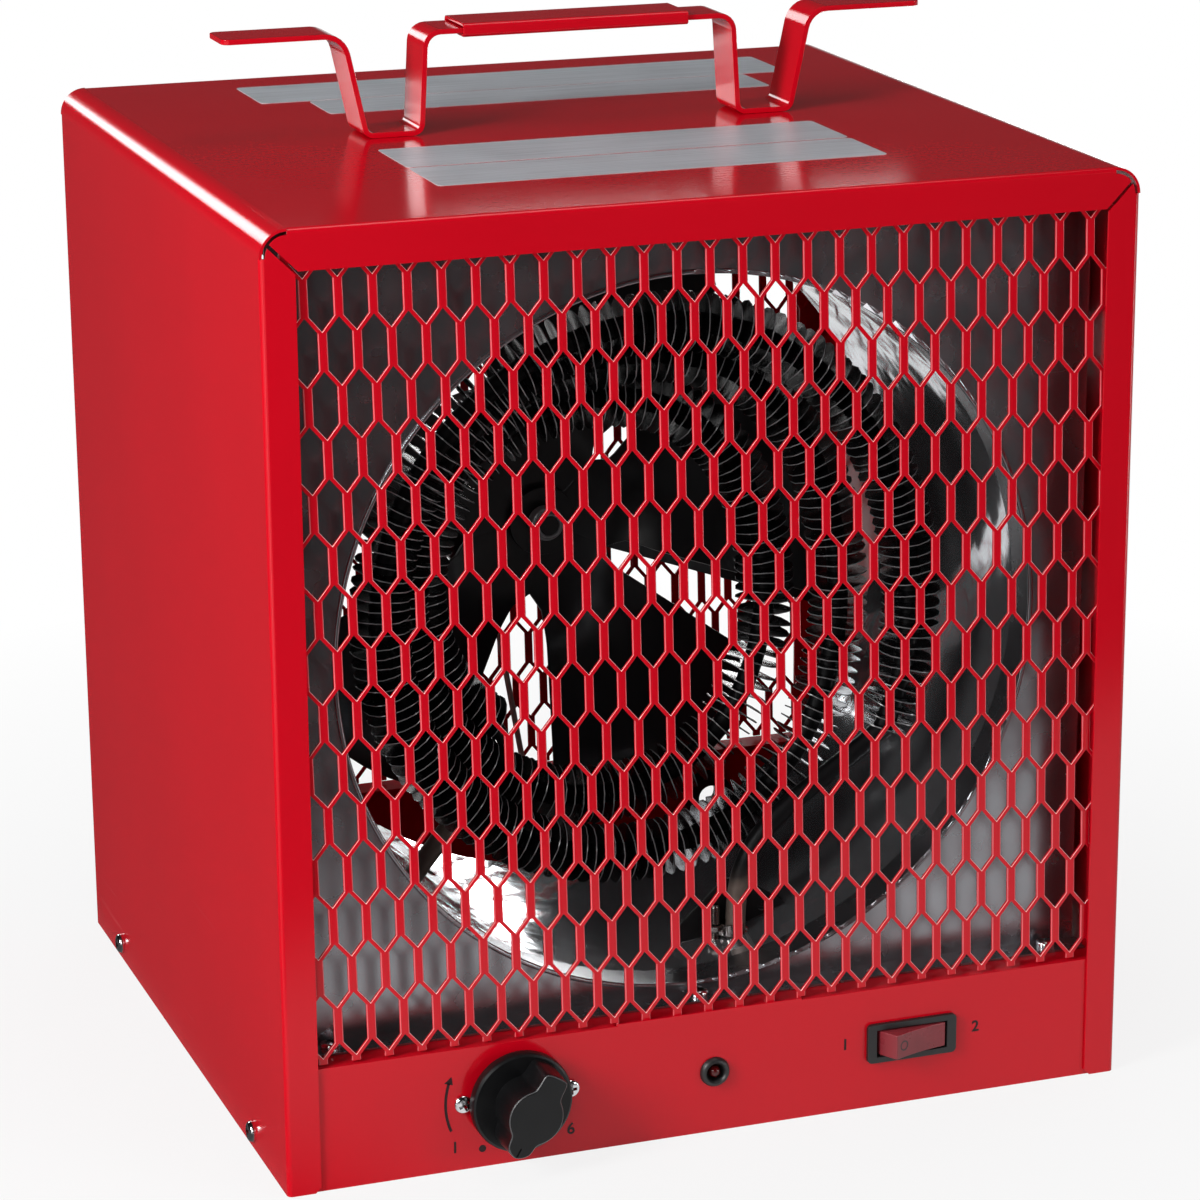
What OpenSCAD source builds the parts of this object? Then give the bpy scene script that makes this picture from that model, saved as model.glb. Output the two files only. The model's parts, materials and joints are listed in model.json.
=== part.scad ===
// Infrared garage heater: red sheet cabinet with a finned coil, a fan and front controls.
// Millimetres, +Z up, the front faces -Y, the origin is at the bottom centre.

/* [Cabinet] */
// width of the shell
cab_w = 330; // [324:1:345]
// depth of the shell
cab_d = 300; // [294:1:330]
// height of the shell without the handle
cab_h = 354; // [348:1:375]
// sheet thickness
sheet_t = 1; // [0.8:0.1:1.3]
// outer radius of the two top bends
top_bend_r = 10; // [7:0.5:13]
// outer radius of the flange bends
edge_bend_r = 2; // [1.8:0.1:2.6]
// width of the side flanges
side_flange_w = 12.5; // [11:0.5:16]
// height of the top flange
top_flange_w = 15; // [13:0.5:19]
// width of the slits at the flange corners
slit_w = 1.3; // [0.8:0.1:2]
// gap between sheets that lie on one another
fit = 0.2; // [0.15:0.05:0.3]

/* [Base pan] */
// height of the control panel
panel_h = 47.5; // [46.5:0.5:49]
// depth of the lip over the panel, from the front
lip_d = 22; // [20:0.5:26]
// extra height of the panel edge at the grille tongue
tongue_step = 0.7; // [0.3:0.1:1.2]
// height of the side upstands
upstand_h = 18; // [14:1:24]

/* [Grille] */
// distance between mesh columns
mesh_pitch_x = 12.33; // [11.5:0.1:13.5]
// distance between mesh rows
mesh_pitch_z = 19; // [18:0.1:21]
// straight length of a bond
bond_l = 13.2; // [11:0.1:14]
// width of a bond
bond_w = 3.1; // [2.6:0.1:3.8]
// width of a strand
strand_w = 1.3; // [1:0.1:1.8]
// sheet thickness of the mesh
mesh_t = 1.2; // [1:0.1:1.6]
// sideways lean of the columns for each millimetre down
mesh_lean = 0.0205; // [0:0.0005:0.03]
// width of the tongue behind the panel edge
tongue_w = 73; // [60:1:90]

/* [Baffle and drum] */
// distance from the front to the baffle plate
baffle_d = 23.5; // [22:0.5:27]
// sheet thickness of the baffle and the drum
baffle_t = 0.8; // [0.6:0.1:1]
// height of the fan axis
axis_z = 187; // [185:0.5:190]
// radius of the round opening
opening_r = 135; // [130:0.5:135.5]
// length of the neck behind the opening
neck_l = 14.5; // [10:0.5:20]
// radius of the bead round the opening
bead_r = 1; // [0.7:0.1:1.3]
// distance from the front to the rear end of the drum
drum_d = 168; // [160:1:172]
// width of the flange at the rear end of the drum
drum_flange_w = 13; // [12:0.5:14]

/* [Heating element] */
// radius of the first turn
coil_r = 112.6; // [108:0.2:113]
// loss of radius over one turn
coil_step = 13.5; // [12.5:0.1:14.5]
// way back over one turn
coil_lead = 22; // [21.5:0.1:24]
// number of turns
coil_turns = 2.73; // [2.6:0.01:2.8]
// distance from the front to the first turn
coil_d = 59.5; // [58:0.5:64]
// diameter of the bare tube
tube_d = 8; // [7:0.1:8.5]
// diameter of the fins
fin_d = 23; // [20:0.2:23.4]
// distance between fins
fin_pitch = 4.2; // [3.8:0.1:6]
// thickness of a fin
fin_t = 0.5; // [0.4:0.05:0.8]
// place of the front cold end
lead_x = 31; // [28:0.5:36]

/* [Fan and motor] */
// number of blades
blade_n = 5; // [4:1:6]
// angle that a blade covers
blade_a = 49.5; // [42:0.5:52]
// tip radius
fan_r = 123; // [112:1:126]
// pitch angle of the blades
blade_pitch = 16.5; // [12:0.5:20]
// sheet thickness of the blades
blade_t = 1.6; // [1.2:0.1:2]
// radius of the closed hub plate
hub_r = 31; // [26:0.5:34]
// distance from the front to the hub plate
fan_d = 196; // [195:0.5:199]
// shaft diameter
shaft_d = 8; // [7:0.1:9]
// motor diameter
motor_d = 72; // [66:1:80]
// free depth between the motor and the rear grille
motor_gap = 18.9; // [14:0.5:26]
// thickness of the bracket strip
bracket_t = 2; // [1.5:0.1:2.5]
// width of the bracket arms
arm_w = 16; // [12:0.5:20]

/* [Handle] */
// width of the strip
strip_w = 21; // [18:0.5:25]
// thickness of the strip
strip_t = 2; // [1.6:0.1:2.5]
// half span over the two cord arms
arm_half = 139.7; // [130:1:146]
// height of the strip above the top
handle_h = 40; // [34:0.5:48]
// half distance between the risers at the top
riser_x = 61.5; // [58:0.5:64]
// half distance of the outer ends of the feet
foot_x = 85.3; // [82:0.5:88]
// how far a leg leans out
leg_lean = 8.2; // [4:0.2:12]
// distance from the middle to the strip's centre line
handle_y = 11; // [0:0.5:20]
// distance from the middle to the handle's own middle
handle_x = 3.3; // [0:0.1:6]
// half length of the grip sleeve
grip_half = 45; // [38:0.5:50]
// wall thickness of the grip sleeve
grip_t = 1.2; // [0.8:0.1:1.6]

/* [Controls] */
// place of the thermostat from the middle
knob_x = 77.5; // [74:0.5:82]
// height of the controls
control_z = 26; // [24.5:0.5:27.5]
// radius of the knob skirt
skirt_r = 19.3; // [17:0.1:20]
// reach of the knob grip from its axis
grip_r = 18; // [15:0.1:19]
// width of the knob grip at its ends
wing_w = 10.6; // [8:0.2:13]
// height of the knob grip
grip_h = 15; // [11:0.5:18]
// distance between the thermostat screws
thermo_pitch = 41.4; // [39:0.2:44]
// lamp bezel diameter
lamp_d = 11.6; // [11:0.2:14]
// place of the switch from the middle
switch_x = 79.5; // [76:0.5:83]
// width of the switch bezel
switch_w = 36.4; // [35.6:0.2:38]
// height of the switch bezel
switch_h = 15.6; // [15.2:0.1:17]
// swing of the rocker to each side of its middle
rocker_tilt = 16; // [12:0.5:16.5]
// height of the rocker's corners over its pins
rocker_ridge = 8.6; // [8:0.1:9.2]

/* [Fasteners] */
// head diameter of the casing screws
screw_head_d = 8; // [7:0.1:9]
// shank diameter of the screws
screw_d = 4; // [3.5:0.1:4.2]

/* [Hidden] */
$fn = 64;

red = [0.72, 0.04, 0.09];
bright = [0.62, 0.62, 0.64];
black = [0.08, 0.08, 0.08];

front_y = -cab_d / 2;
rear_y = cab_d / 2;
in_half = cab_w / 2 - sheet_t;
panel_front = front_y + sheet_t + fit;
panel_back = panel_front + sheet_t;
grille_front = panel_back + fit;
grille_back = grille_front + mesh_t;
plate_half = cab_w / 2 - edge_bend_r - 0.7;
floor_half = in_half - fit - 0.1;
floor_y = cab_d / 2 - edge_bend_r - 0.5;
upstand_y = cab_d / 2 - 12;
casing_screw_y = cab_d / 2 - 47;
casing_screw_z = 7;
hole_gap = 0.25;
run_gap = 0.06;

mesh_half = in_half - 6;
mesh_low = panel_h + tongue_step + fit;
mesh_top = cab_h - sheet_t - 4;
mesh_row0 = cab_h - 24.7;
mesh_mid = cab_h - 132;
mesh_x0 = 0.8;
mesh_rows = ceil((mesh_top - mesh_low) / mesh_pitch_z) + 1;
mesh_cols = ceil(mesh_half / mesh_pitch_x) + 2;
tongue_x = -1.5;
tongue_low = panel_h - 8;

baffle_front = front_y + baffle_d;
baffle_back = baffle_front + baffle_t;
baffle_half = in_half - 7;
baffle_low = panel_h + fit;
baffle_top = cab_h - sheet_t - fit - 0.1;
baffle_flange = 12;
baffle_screw_y = baffle_front - 5.5;
baffle_screw_x = [-baffle_half + 14, 0, baffle_half - 14];
drum_r = opening_r + baffle_t + 0.3;
drum_front = baffle_back + 0.3;
drum_rear = front_y + drum_d;
drum_flange_r = drum_r + drum_flange_w;

tube_r = tube_d / 2;
coil_y = front_y + coil_d;
coil_start = -30;
coil_loss = coil_step / (2 * PI);
coil_turn_a = coil_turns * 2 * PI;
coil_len = coil_r * coil_turn_a - coil_loss * coil_turn_a * coil_turn_a / 2;
coil_seg = floor(coil_len / (2 * fin_pitch));
tube_sides = 8;
fin_bore_r = tube_r + 0.3;
lead_low = axis_z - drum_r - 4;
end_bend = 14;
end_r = drum_r + 8;
terminal_r = tube_r + 0.8;
terminal_l = 9;

shaft_r = shaft_d / 2;
fan_y = front_y + fan_d;
bracket_y = fan_y + 25;
motor_y = bracket_y + bracket_t + 0.2;
motor_r = motor_d / 2;
motor_l = -grille_back - motor_gap - motor_y;
bell_l = motor_l * 0.3;
stator_y0 = motor_y + bell_l;
stator_y1 = motor_y + motor_l - bell_l;
rotor_r = motor_r * 0.5;
bush_r = shaft_r + 3;
bush_l = bell_l * 0.6;
boss_r = bush_r + 3;
leg_r = drum_r + 1;
arm_angles = [-20, 160];
foot_screw_r = drum_flange_r - 4.5;
motor_screw_r = boss_r + 9;
motor_screw_angles = [30, 150, 270];

bar_z = cab_h + handle_h - strip_t / 2 - 0.5;
arm_z = cab_h + handle_h - strip_t / 2;
foot_z = cab_h + strip_t / 2 + 0.05;
grip_rise = 1.8;
grip_x = handle_x - 2.3;

knob_gap = 2.8;
knob_rest = 30;
skirt_t = 5;
knob_base = panel_front - knob_gap;
spindle_r = 3;
thermo_y = panel_back + fit;
thermo_w = 34;
thermo_h = 26;
thermo_l = 24;
lamp_z = control_z - 2;
lamp_r = lamp_d / 2;
lamp_bore_r = lamp_r - 2.5;
switch_in_w = switch_w - 7.6;
switch_in_h = switch_h - 4.9;
switch_wall = 1.4;
switch_l = 24;
rocker_half = switch_in_w / 2 - 0.5;
rocker_face = switch_in_w / 2 - 2.6;
rocker_y = panel_front + 3.3;
rocker_z = switch_in_h / 2 - 0.5;
gland_x = cab_w / 2 - 55;
gland_z = 24;
gland_r = 10.5;
block_x = gland_x - 10;
block_y = rear_y - 72;
block_w = 52;
block_d = 20;
block_h = 17;
wire_r = 1.4;
tab_l = 7;
lamp_l = 17;
gland_l = 8;

// plan of a shape in x and z, drawn out along y
module along_y(y0, y1) {
  translate([0, y1, 0])
    rotate([90, 0, 0])
      linear_extrude(height = y1 - y0)
        children();
}

// plan of a shape in y and z, drawn out along x
module along_x(x0, x1) {
  translate([x0, 0, 0])
    rotate([90, 0, 90])
      linear_extrude(height = x1 - x0)
        children();
}

// puts a turned shape on the fan axis, its height running back
module on_axis(y) {
  translate([0, y, axis_z])
    rotate([-90, 0, 0])
      children();
}

// puts a shape on the panel, its height running to the front
module on_front(x, y, z) {
  translate([x, y, z])
    rotate([90, 0, 0])
      children();
}

// turns a shape about the fan axis, its x running outward
module spoke(a) {
  translate([0, 0, axis_z])
    rotate([0, -a, 0])
      children();
}

// quarter of a sheet bend
module quarter(r, sx, sy) {
  intersection() {
    difference() {
      circle(r = r);
      circle(r = r - sheet_t);
    }
    translate([sx < 0 ? -r : 0, sy < 0 ? -r : 0])
      square(r);
  }
}

// front outline of the shell
module shell_outline(inset, drop) {
  r = top_bend_r - inset;
  half = cab_w / 2 - inset;
  high = cab_h - inset;
  translate([-half, -drop])
    square([2 * half, high - r + drop]);
  translate([-half + r, -drop])
    square([2 * half - 2 * r, high + drop]);
  for (s = [-1, 1])
    translate([s * (half - r), high - r])
      circle(r = r);
}

// flange frame in front view, with its corner slits
module flange_outline() {
  relief_r = top_bend_r - edge_bend_r - 0.2;
  inner = cab_w / 2 - side_flange_w;
  difference() {
    union() {
      translate([-cab_w / 2 + edge_bend_r, 0])
        square([cab_w - 2 * edge_bend_r, cab_h - top_bend_r]);
      translate([-cab_w / 2 + top_bend_r, 0])
        square([cab_w - 2 * top_bend_r, cab_h - edge_bend_r]);
      for (s = [-1, 1])
        translate([s * (cab_w / 2 - top_bend_r), cab_h - top_bend_r])
          circle(r = relief_r);
    }
    translate([-inner, -1])
      square([2 * inner, cab_h - top_flange_w + 1]);
    for (s = [-1, 1]) {
      translate([s * inner, cab_h - top_flange_w])
        rotate(s > 0 ? 45 : 135)
          translate([-2, -slit_w / 2])
            square([30, slit_w]);
      translate([s * inner, 0])
        rotate(45)
          square(3, center = true);
    }
  }
}

module cabinet_shell() {
  strip_len = cab_w - 2 * top_bend_r;
  color(red)
    difference() {
      union() {
        along_y(front_y + edge_bend_r, rear_y - edge_bend_r)
          difference() {
            shell_outline(0, 0);
            shell_outline(sheet_t, 1);
          }
        for (s = [-1, 1]) {
          y_edge = s * (cab_d / 2 - edge_bend_r);
          y_tip = s * (cab_d / 2 - 0.3);
          along_y(min(y_edge, y_tip), max(y_edge, y_tip))
            for (q = [-1, 1])
              translate([q * (cab_w / 2 - top_bend_r), cab_h - top_bend_r])
                quarter(top_bend_r, q, 1);
          for (q = [-1, 1])
            translate([q * (cab_w / 2 - edge_bend_r), y_edge, 0])
              linear_extrude(height = cab_h - top_bend_r)
                quarter(edge_bend_r, q, s);
          translate([0, y_edge, cab_h - edge_bend_r])
            along_x(-strip_len / 2, strip_len / 2)
              quarter(edge_bend_r, s, 1);
          y_out = s * cab_d / 2;
          y_in = y_out - s * sheet_t;
          along_y(min(y_out, y_in), max(y_out, y_in))
            flange_outline();
        }
      }
      casing_screw_places()
        translate([0, 0, -6])
          cylinder(r = screw_d / 2 + hole_gap, h = 12);
    }
}

// places of the casing screws, their height running outward
module casing_screw_places() {
  for (s = [-1, 1])
    for (q = [-1, 1])
      translate([s * cab_w / 2, q * casing_screw_y, casing_screw_z])
        rotate([0, s * 90, 0])
          children();
}

module base_pan() {
  color(red)
    difference() {
      union() {
        translate([-floor_half, -floor_y, 0])
          cube([2 * floor_half, 2 * floor_y, sheet_t]);
        translate([-plate_half, panel_front, 0])
          cube([2 * plate_half, -2 * panel_front, sheet_t]);
        translate([-plate_half, panel_front, 0])
          cube([2 * plate_half, sheet_t, panel_h]);
        translate([-plate_half, panel_front, panel_h - sheet_t])
          cube([2 * plate_half, lip_d + front_y - panel_front, sheet_t]);
        translate([tongue_x - tongue_w / 2, panel_front, panel_h - sheet_t])
          cube([tongue_w, sheet_t, sheet_t + tongue_step]);
        translate([-plate_half, -panel_back, 0])
          cube([2 * plate_half, sheet_t, panel_h]);
        translate([-plate_half, -panel_back - 11, panel_h - sheet_t])
          cube([2 * plate_half, 11 + sheet_t, sheet_t]);
        for (s = [-1, 1])
          translate([s * (floor_half - sheet_t / 2), 0, upstand_h / 2])
            cube([sheet_t, 2 * upstand_y, upstand_h], center = true);
      }
      translate([tongue_x - tongue_w / 2 - 1, panel_back, panel_h - 3])
        cube([tongue_w + 2, mesh_t + 2 * fit, 5]);
      on_front(-knob_x, panel_back + 1, control_z)
        cylinder(r = spindle_r + 2, h = sheet_t + 2);
      thermo_screw_places()
        translate([0, 0, -5])
          cylinder(r = 1.5 + hole_gap, h = 10);
      on_front(0, panel_back + 1, lamp_z)
        cylinder(r = lamp_r - 1.2 + hole_gap, h = sheet_t + 2);
      translate([switch_x - switch_in_w / 2 - switch_wall - 0.3, panel_front - 1,
                 control_z - switch_in_h / 2 - switch_wall - 0.3])
        cube([switch_in_w + 2 * switch_wall + 0.6, sheet_t + 2, switch_in_h + 2 * switch_wall + 0.6]);
      translate([gland_x, -panel_front + 1, gland_z])
        rotate([90, 0, 0])
          cylinder(r = gland_r + hole_gap, h = sheet_t + 2);
      casing_screw_places()
        translate([0, 0, -6])
          cylinder(r = screw_d / 2 + hole_gap, h = 12);
      baffle_screw_places()
        translate([0, 0, -8])
          cylinder(r = screw_d / 2 + hole_gap, h = 12);
    }
}

// six-sided opening of the mesh
module mesh_cell(x, z) {
  half = mesh_pitch_x / 2;
  slope = (mesh_pitch_z - bond_l) / half;
  peak = mesh_pitch_z - bond_l / 2 - strand_w / 2 * sqrt(1 + slope * slope);
  side = half - bond_w / 2;
  shoulder = peak - slope * side;
  corners = [[side, shoulder], [0, peak], [-side, shoulder], [-side, -shoulder], [0, -peak],
    [side, -shoulder]];
  polygon([for (p = corners) [x + p[0] - mesh_lean * p[1], z + p[1]]]);
}

// expanded sheet in front view
module mesh_outline(tongue) {
  difference() {
    union() {
      translate([-mesh_half, mesh_low])
        square([2 * mesh_half, mesh_top - mesh_low]);
      if (tongue)
        translate([tongue_x - tongue_w / 2, tongue_low])
          square([tongue_w, mesh_low - tongue_low + 1]);
    }
    for (k = [-1 : mesh_rows]) {
      z = mesh_row0 - k * mesh_pitch_z;
      shift = mesh_x0 - mesh_lean * (z - mesh_mid) + (k % 2 == 0 ? mesh_pitch_x / 2 : 0);
      for (n = [-mesh_cols : mesh_cols])
        if (abs(shift + n * mesh_pitch_x) < mesh_half + mesh_pitch_x / 2)
          mesh_cell(shift + n * mesh_pitch_x, z);
    }
  }
}

module front_grille() {
  color(red)
    along_y(grille_front, grille_back)
      mesh_outline(true);
}

module rear_grille() {
  color(red)
    along_y(-grille_back, -grille_front)
      mesh_outline(false);
}

// places of the baffle screws, on the lower flange
module baffle_screw_places() {
  for (x = baffle_screw_x)
    translate([x, baffle_screw_y, baffle_low + baffle_t])
      children();
}

module baffle_plate() {
  color(bright)
    difference() {
      union() {
        along_y(baffle_front, baffle_back)
          difference() {
            translate([-baffle_half, baffle_low])
              square([2 * baffle_half, baffle_top - baffle_low]);
            translate([0, axis_z])
              circle(r = opening_r + baffle_t / 2);
          }
        on_axis(baffle_front)
          rotate_extrude()
            translate([opening_r, 0])
              square([baffle_t, neck_l]);
        on_axis(baffle_front)
          rotate_extrude()
            translate([opening_r + bead_r * 0.8, 0])
              circle(r = bead_r);
        translate([-baffle_half, baffle_front - baffle_flange, baffle_low])
          cube([2 * baffle_half, baffle_flange + baffle_t, baffle_t]);
        translate([-baffle_half + 8, baffle_front, baffle_top - baffle_t])
          cube([2 * baffle_half - 16, baffle_flange, baffle_t]);
      }
      baffle_screw_places()
        translate([0, 0, -4])
          cylinder(r = screw_d / 2 + hole_gap, h = 8);
    }
}

module air_drum() {
  length = drum_rear - drum_front;
  color(bright)
    difference() {
      on_axis(drum_front)
        rotate_extrude()
          polygon([[drum_r, 0], [drum_r + baffle_t, 0], [drum_r + baffle_t, length - baffle_t],
            [drum_flange_r, length - baffle_t], [drum_flange_r, length], [drum_r, length]]);
      translate([lead_x, coil_y, lead_low - 10])
        cylinder(r = tube_r + 1, h = 40);
      translate(end_out(-18))
        along(end_dir())
          cylinder(r = tube_r + 1, h = 40);
      for (a = arm_angles)
        spoke(a)
          translate([foot_screw_r, drum_rear + 4, 0])
            rotate([90, 0, 0])
              cylinder(r = screw_d / 2 + hole_gap, h = 8);
    }
}

// points of the coil
function coil_angle(s) = (coil_r - sqrt(coil_r * coil_r - 2 * coil_loss * s)) / coil_loss;
function coil_point(s) =
  let (a = coil_angle(s), r = coil_r - coil_loss * a, w = coil_start + a * 180 / PI)
    [r * cos(w), coil_y + coil_lead * a / (2 * PI), axis_z + r * sin(w)];
function unit(v) = v / norm(v);
function bezier(p, t) = p[0] * pow(1 - t, 3) + 3 * p[1] * t * pow(1 - t, 2)
  + 3 * p[2] * t * t * (1 - t) + p[3] * pow(t, 3);
function end_angle() = coil_start + coil_angle(coil_seg * 2 * fin_pitch) * 180 / PI;
function end_dir() = [cos(end_angle()), 0, sin(end_angle())];
function end_side() = [-sin(end_angle()), 0, cos(end_angle())];
function end_bend_point(w) = coil_point(coil_seg * 2 * fin_pitch)
  + end_bend * (1 - cos(w)) * end_dir() + end_bend * sin(w) * end_side();
function end_radius() = let (p = end_bend_point(90)) norm([p[0], p[2] - axis_z]);
function end_out(more) = end_bend_point(90) + (end_r - end_radius() + more) * end_dir();

coil_first = coil_point(0);
lead_curve = [[lead_x, coil_y, lead_low + 14], [lead_x, coil_y, lead_low + 54],
  coil_first - 40 * [cos(40), 0, sin(40)], coil_first];
coil_path = [for (i = [0 : coil_seg]) coil_point(i * 2 * fin_pitch)];
tube_path = concat([[lead_x, coil_y, lead_low]], [for (i = [0 : 11]) bezier(lead_curve, i / 12)],
  coil_path, [for (w = [15 : 15 : 90]) end_bend_point(w)], [end_out(0)]);
tube_gap = min([for (i = [0 : len(coil_path) - 1])
  for (j = [i + 12 : len(coil_path) - 1]) norm(coil_path[i] - coil_path[j])]) - tube_d;
echo(tube_gap = tube_gap, fin_gap = tube_gap + tube_d - fin_d, fins = 2 * coil_seg + 1);

// turns a shape so that its height runs along a direction
module along(v) {
  rotate([0, acos(v[2] / norm(v)), atan2(v[1], v[0])])
    children();
}

function path_dir(path, i) = unit(path[min(i + 1, len(path) - 1)] - path[max(i - 1, 0)]);
function ring_point(path, r, w, up, i) =
  let (t = path_dir(path, i), n = unit(up - (up * t) * t), b = cross(t, n))
    path[i] + r * (cos(w) * n + sin(w) * b);

// one unbroken tube along a row of points
module sweep(path, r, m, up) {
  n = len(path);
  points = [for (i = [0 : n - 1]) for (j = [0 : m - 1]) ring_point(path, r, 360 * j / m, up, i)];
  walls = [for (i = [0 : n - 2]) for (j = [0 : m - 1])
    [i * m + j, (i + 1) * m + j, (i + 1) * m + (j + 1) % m, i * m + (j + 1) % m]];
  first = [for (j = [0 : m - 1]) j];
  last = [for (j = [m - 1 : -1 : 0]) (n - 1) * m + j];
  polyhedron(points = points, faces = concat([first], walls, [last]), convexity = 10);
}

module element_tube() {
  color([0.25, 0.2, 0.17])
    sweep(tube_path, tube_r, tube_sides, [0, 1, 0]);
}

module fin() {
  translate([0, 0, -fin_t / 2])
    rotate_extrude()
      translate([fin_bore_r, 0])
        square([fin_d / 2 - fin_bore_r, fin_t]);
}

module element_fins() {
  color(black)
    for (i = [0 : coil_seg - 1]) {
      way = coil_path[i + 1] - coil_path[i];
      translate(coil_path[i])
        along(path_dir(coil_path, i))
          fin();
      translate(coil_path[i] + way / 2)
        along(way)
          fin();
    }
}

// insulated end of the element with its tab
module terminal() {
  difference() {
    cylinder(r = terminal_r, h = terminal_l);
    translate([0, 0, -1])
      cylinder(r = tube_r + 0.1, h = 5);
  }
  translate([-2.4, -0.4, terminal_l])
    cube([4.8, 0.8, tab_l]);
}

module element_terminals() {
  color([0.85, 0.83, 0.78]) {
    translate([lead_x, coil_y, lead_low + 4])
      rotate([180, 0, 0])
        terminal();
    translate(end_out(-4))
      along(end_dir())
        terminal();
  }
}

module element_saddle() {
  color(black)
    translate([0, coil_y + tube_r + 0.3, 0])
      along_y(0, 1.2)
        difference() {
          intersection() {
            translate([0, axis_z])
              circle(r = drum_r - 0.3);
            translate([lead_x, axis_z - drum_r])
              polygon([[-24, 0], [-24, 5], [-3, 24], [5, 24], [24, 10], [24, 0]]);
          }
          translate([lead_x + 13, axis_z - drum_r + 11])
            circle(r = 2);
        }
}

// one blade: a curved sheet cut to the blade's outline
module blade(a) {
  bow = 200;
  half = blade_a / 2;
  far = fan_r + 40;
  spoke(a)
    intersection() {
      translate([0, fan_y, 0])
        rotate([-blade_pitch, 0, 0])
          translate([0, bow, 0])
            rotate([0, 90, 0])
              rotate_extrude()
                translate([bow, 0])
                  square([blade_t, far]);
      translate([0, fan_y + 60, 0])
        rotate([90, 0, 0])
          linear_extrude(height = 120)
            intersection() {
              circle(r = fan_r);
              polygon([[0, 0], [far * cos(half), -far * sin(half)], [far * cos(half), far * sin(half)]]);
            }
    }
}

module fan_blades() {
  color(black)
    difference() {
      union() {
        on_axis(fan_y)
          cylinder(r = hub_r, h = 2);
        for (i = [0 : blade_n - 1])
          blade(9 + i * 360 / blade_n);
      }
      on_axis(fan_y - 20)
        cylinder(r = boss_r - 2 + 0.1, h = 40);
      on_axis(fan_y - 20)
        cylinder(r = boss_r + 4.3, h = 20);
      on_axis(fan_y + 2)
        cylinder(r = boss_r + 4.3, h = 20);
    }
}

module fan_hub() {
  color(black)
    difference() {
      union() {
        on_axis(fan_y - 3.2)
          cylinder(r = boss_r + 4, h = 3);
        on_axis(fan_y - 3)
          cylinder(r = boss_r - 2, h = 16);
      }
      on_axis(fan_y - 10)
        cylinder(r = shaft_r + 0.05, h = 40);
    }
}

module fan_collar() {
  color(black)
    difference() {
      on_axis(fan_y - 9)
        rotate_extrude()
          polygon([[0, 1], [shaft_r + 2.2, 1], [shaft_r + 3, 1.8], [shaft_r + 3, 5.6], [0, 5.6]]);
      on_axis(fan_y - 12)
        cylinder(r = shaft_r + 0.05, h = 12);
    }
}

module motor_shaft() {
  color(bright)
    on_axis(fan_y - 11)
      cylinder(r = shaft_r, h = motor_y + motor_l - 3 - fan_y + 11);
}

module motor_rotor() {
  color(bright)
    on_axis(stator_y0 + 1)
      difference() {
        cylinder(r = rotor_r, h = stator_y1 - stator_y0 - 2);
        translate([0, 0, -1])
          cylinder(r = shaft_r + 0.05, h = motor_l);
      }
}

// half section of a motor end shell, open towards its rim
module bell(bore) {
  wall = 1.6;
  rotate_extrude()
    polygon([[bore, 0], [motor_r - 3, 0], [motor_r, 3], [motor_r, bell_l - 0.1],
      [motor_r - wall, bell_l - 0.1], [motor_r - wall, 3 + wall], [motor_r - 3 - wall, wall],
      [boss_r, wall], [boss_r, bush_l], [bore, bush_l]]);
}

module motor_shell_front() {
  color([0.3, 0.3, 0.32])
    difference() {
      on_axis(motor_y)
        bell(bush_r + 0.05);
      motor_screw_places()
        translate([0, 0, -8])
          cylinder(r = screw_d / 2 + hole_gap, h = 20);
    }
}

module motor_shell_rear() {
  color([0.3, 0.3, 0.32])
    translate([0, motor_y + motor_l, axis_z])
      rotate([90, 0, 0])
        bell(bush_r + 0.05);
}

module motor_stator() {
  color([0.45, 0.42, 0.4])
    on_axis(stator_y0)
      difference() {
        cylinder(r = motor_r - 0.8, h = stator_y1 - stator_y0);
        translate([0, 0, -1])
          cylinder(r = rotor_r + 0.6, h = motor_l);
      }
}

module motor_bearings() {
  color([0.7, 0.55, 0.25])
    for (y = [motor_y + 0.2, motor_y + motor_l - bush_l])
      on_axis(y)
        rotate_extrude()
          translate([shaft_r + run_gap, 0])
            square([bush_r - shaft_r - run_gap, bush_l - 0.2]);
}

module motor_bracket() {
  color(bright)
    difference() {
      union() {
        along_y(bracket_y, bracket_y + bracket_t)
          translate([0, axis_z])
            difference() {
              union() {
                circle(r = motor_screw_r + 7);
                for (a = arm_angles)
                  rotate(a)
                    translate([0, -arm_w / 2])
                      square([leg_r + bracket_t, arm_w]);
              }
              circle(r = bush_r + 2);
            }
        for (a = arm_angles)
          spoke(a) {
            translate([leg_r, drum_rear + 0.1, -arm_w / 2])
              cube([bracket_t, bracket_y - drum_rear - 0.1 + bracket_t, arm_w]);
            translate([leg_r, drum_rear + 0.1, -arm_w / 2])
              cube([drum_flange_r - leg_r, bracket_t, arm_w]);
          }
      }
      motor_screw_places()
        translate([0, 0, -8])
          cylinder(r = screw_d / 2 + hole_gap, h = 20);
      for (a = arm_angles)
        spoke(a)
          translate([foot_screw_r, drum_rear + 6, 0])
            rotate([90, 0, 0])
              cylinder(r = screw_d / 2 + hole_gap, h = 12);
    }
}

// places of the motor screws, their height running to the front
module motor_screw_places() {
  for (a = motor_screw_angles)
    spoke(a)
      translate([motor_screw_r, bracket_y, 0])
        rotate([90, 0, 0])
          children();
}

// pan head screw, head on top
module screw(head_r, head_h, length) {
  cylinder(r = head_r, h = head_h);
  translate([0, 0, -length])
    cylinder(r = screw_d / 2, h = length);
}

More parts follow.
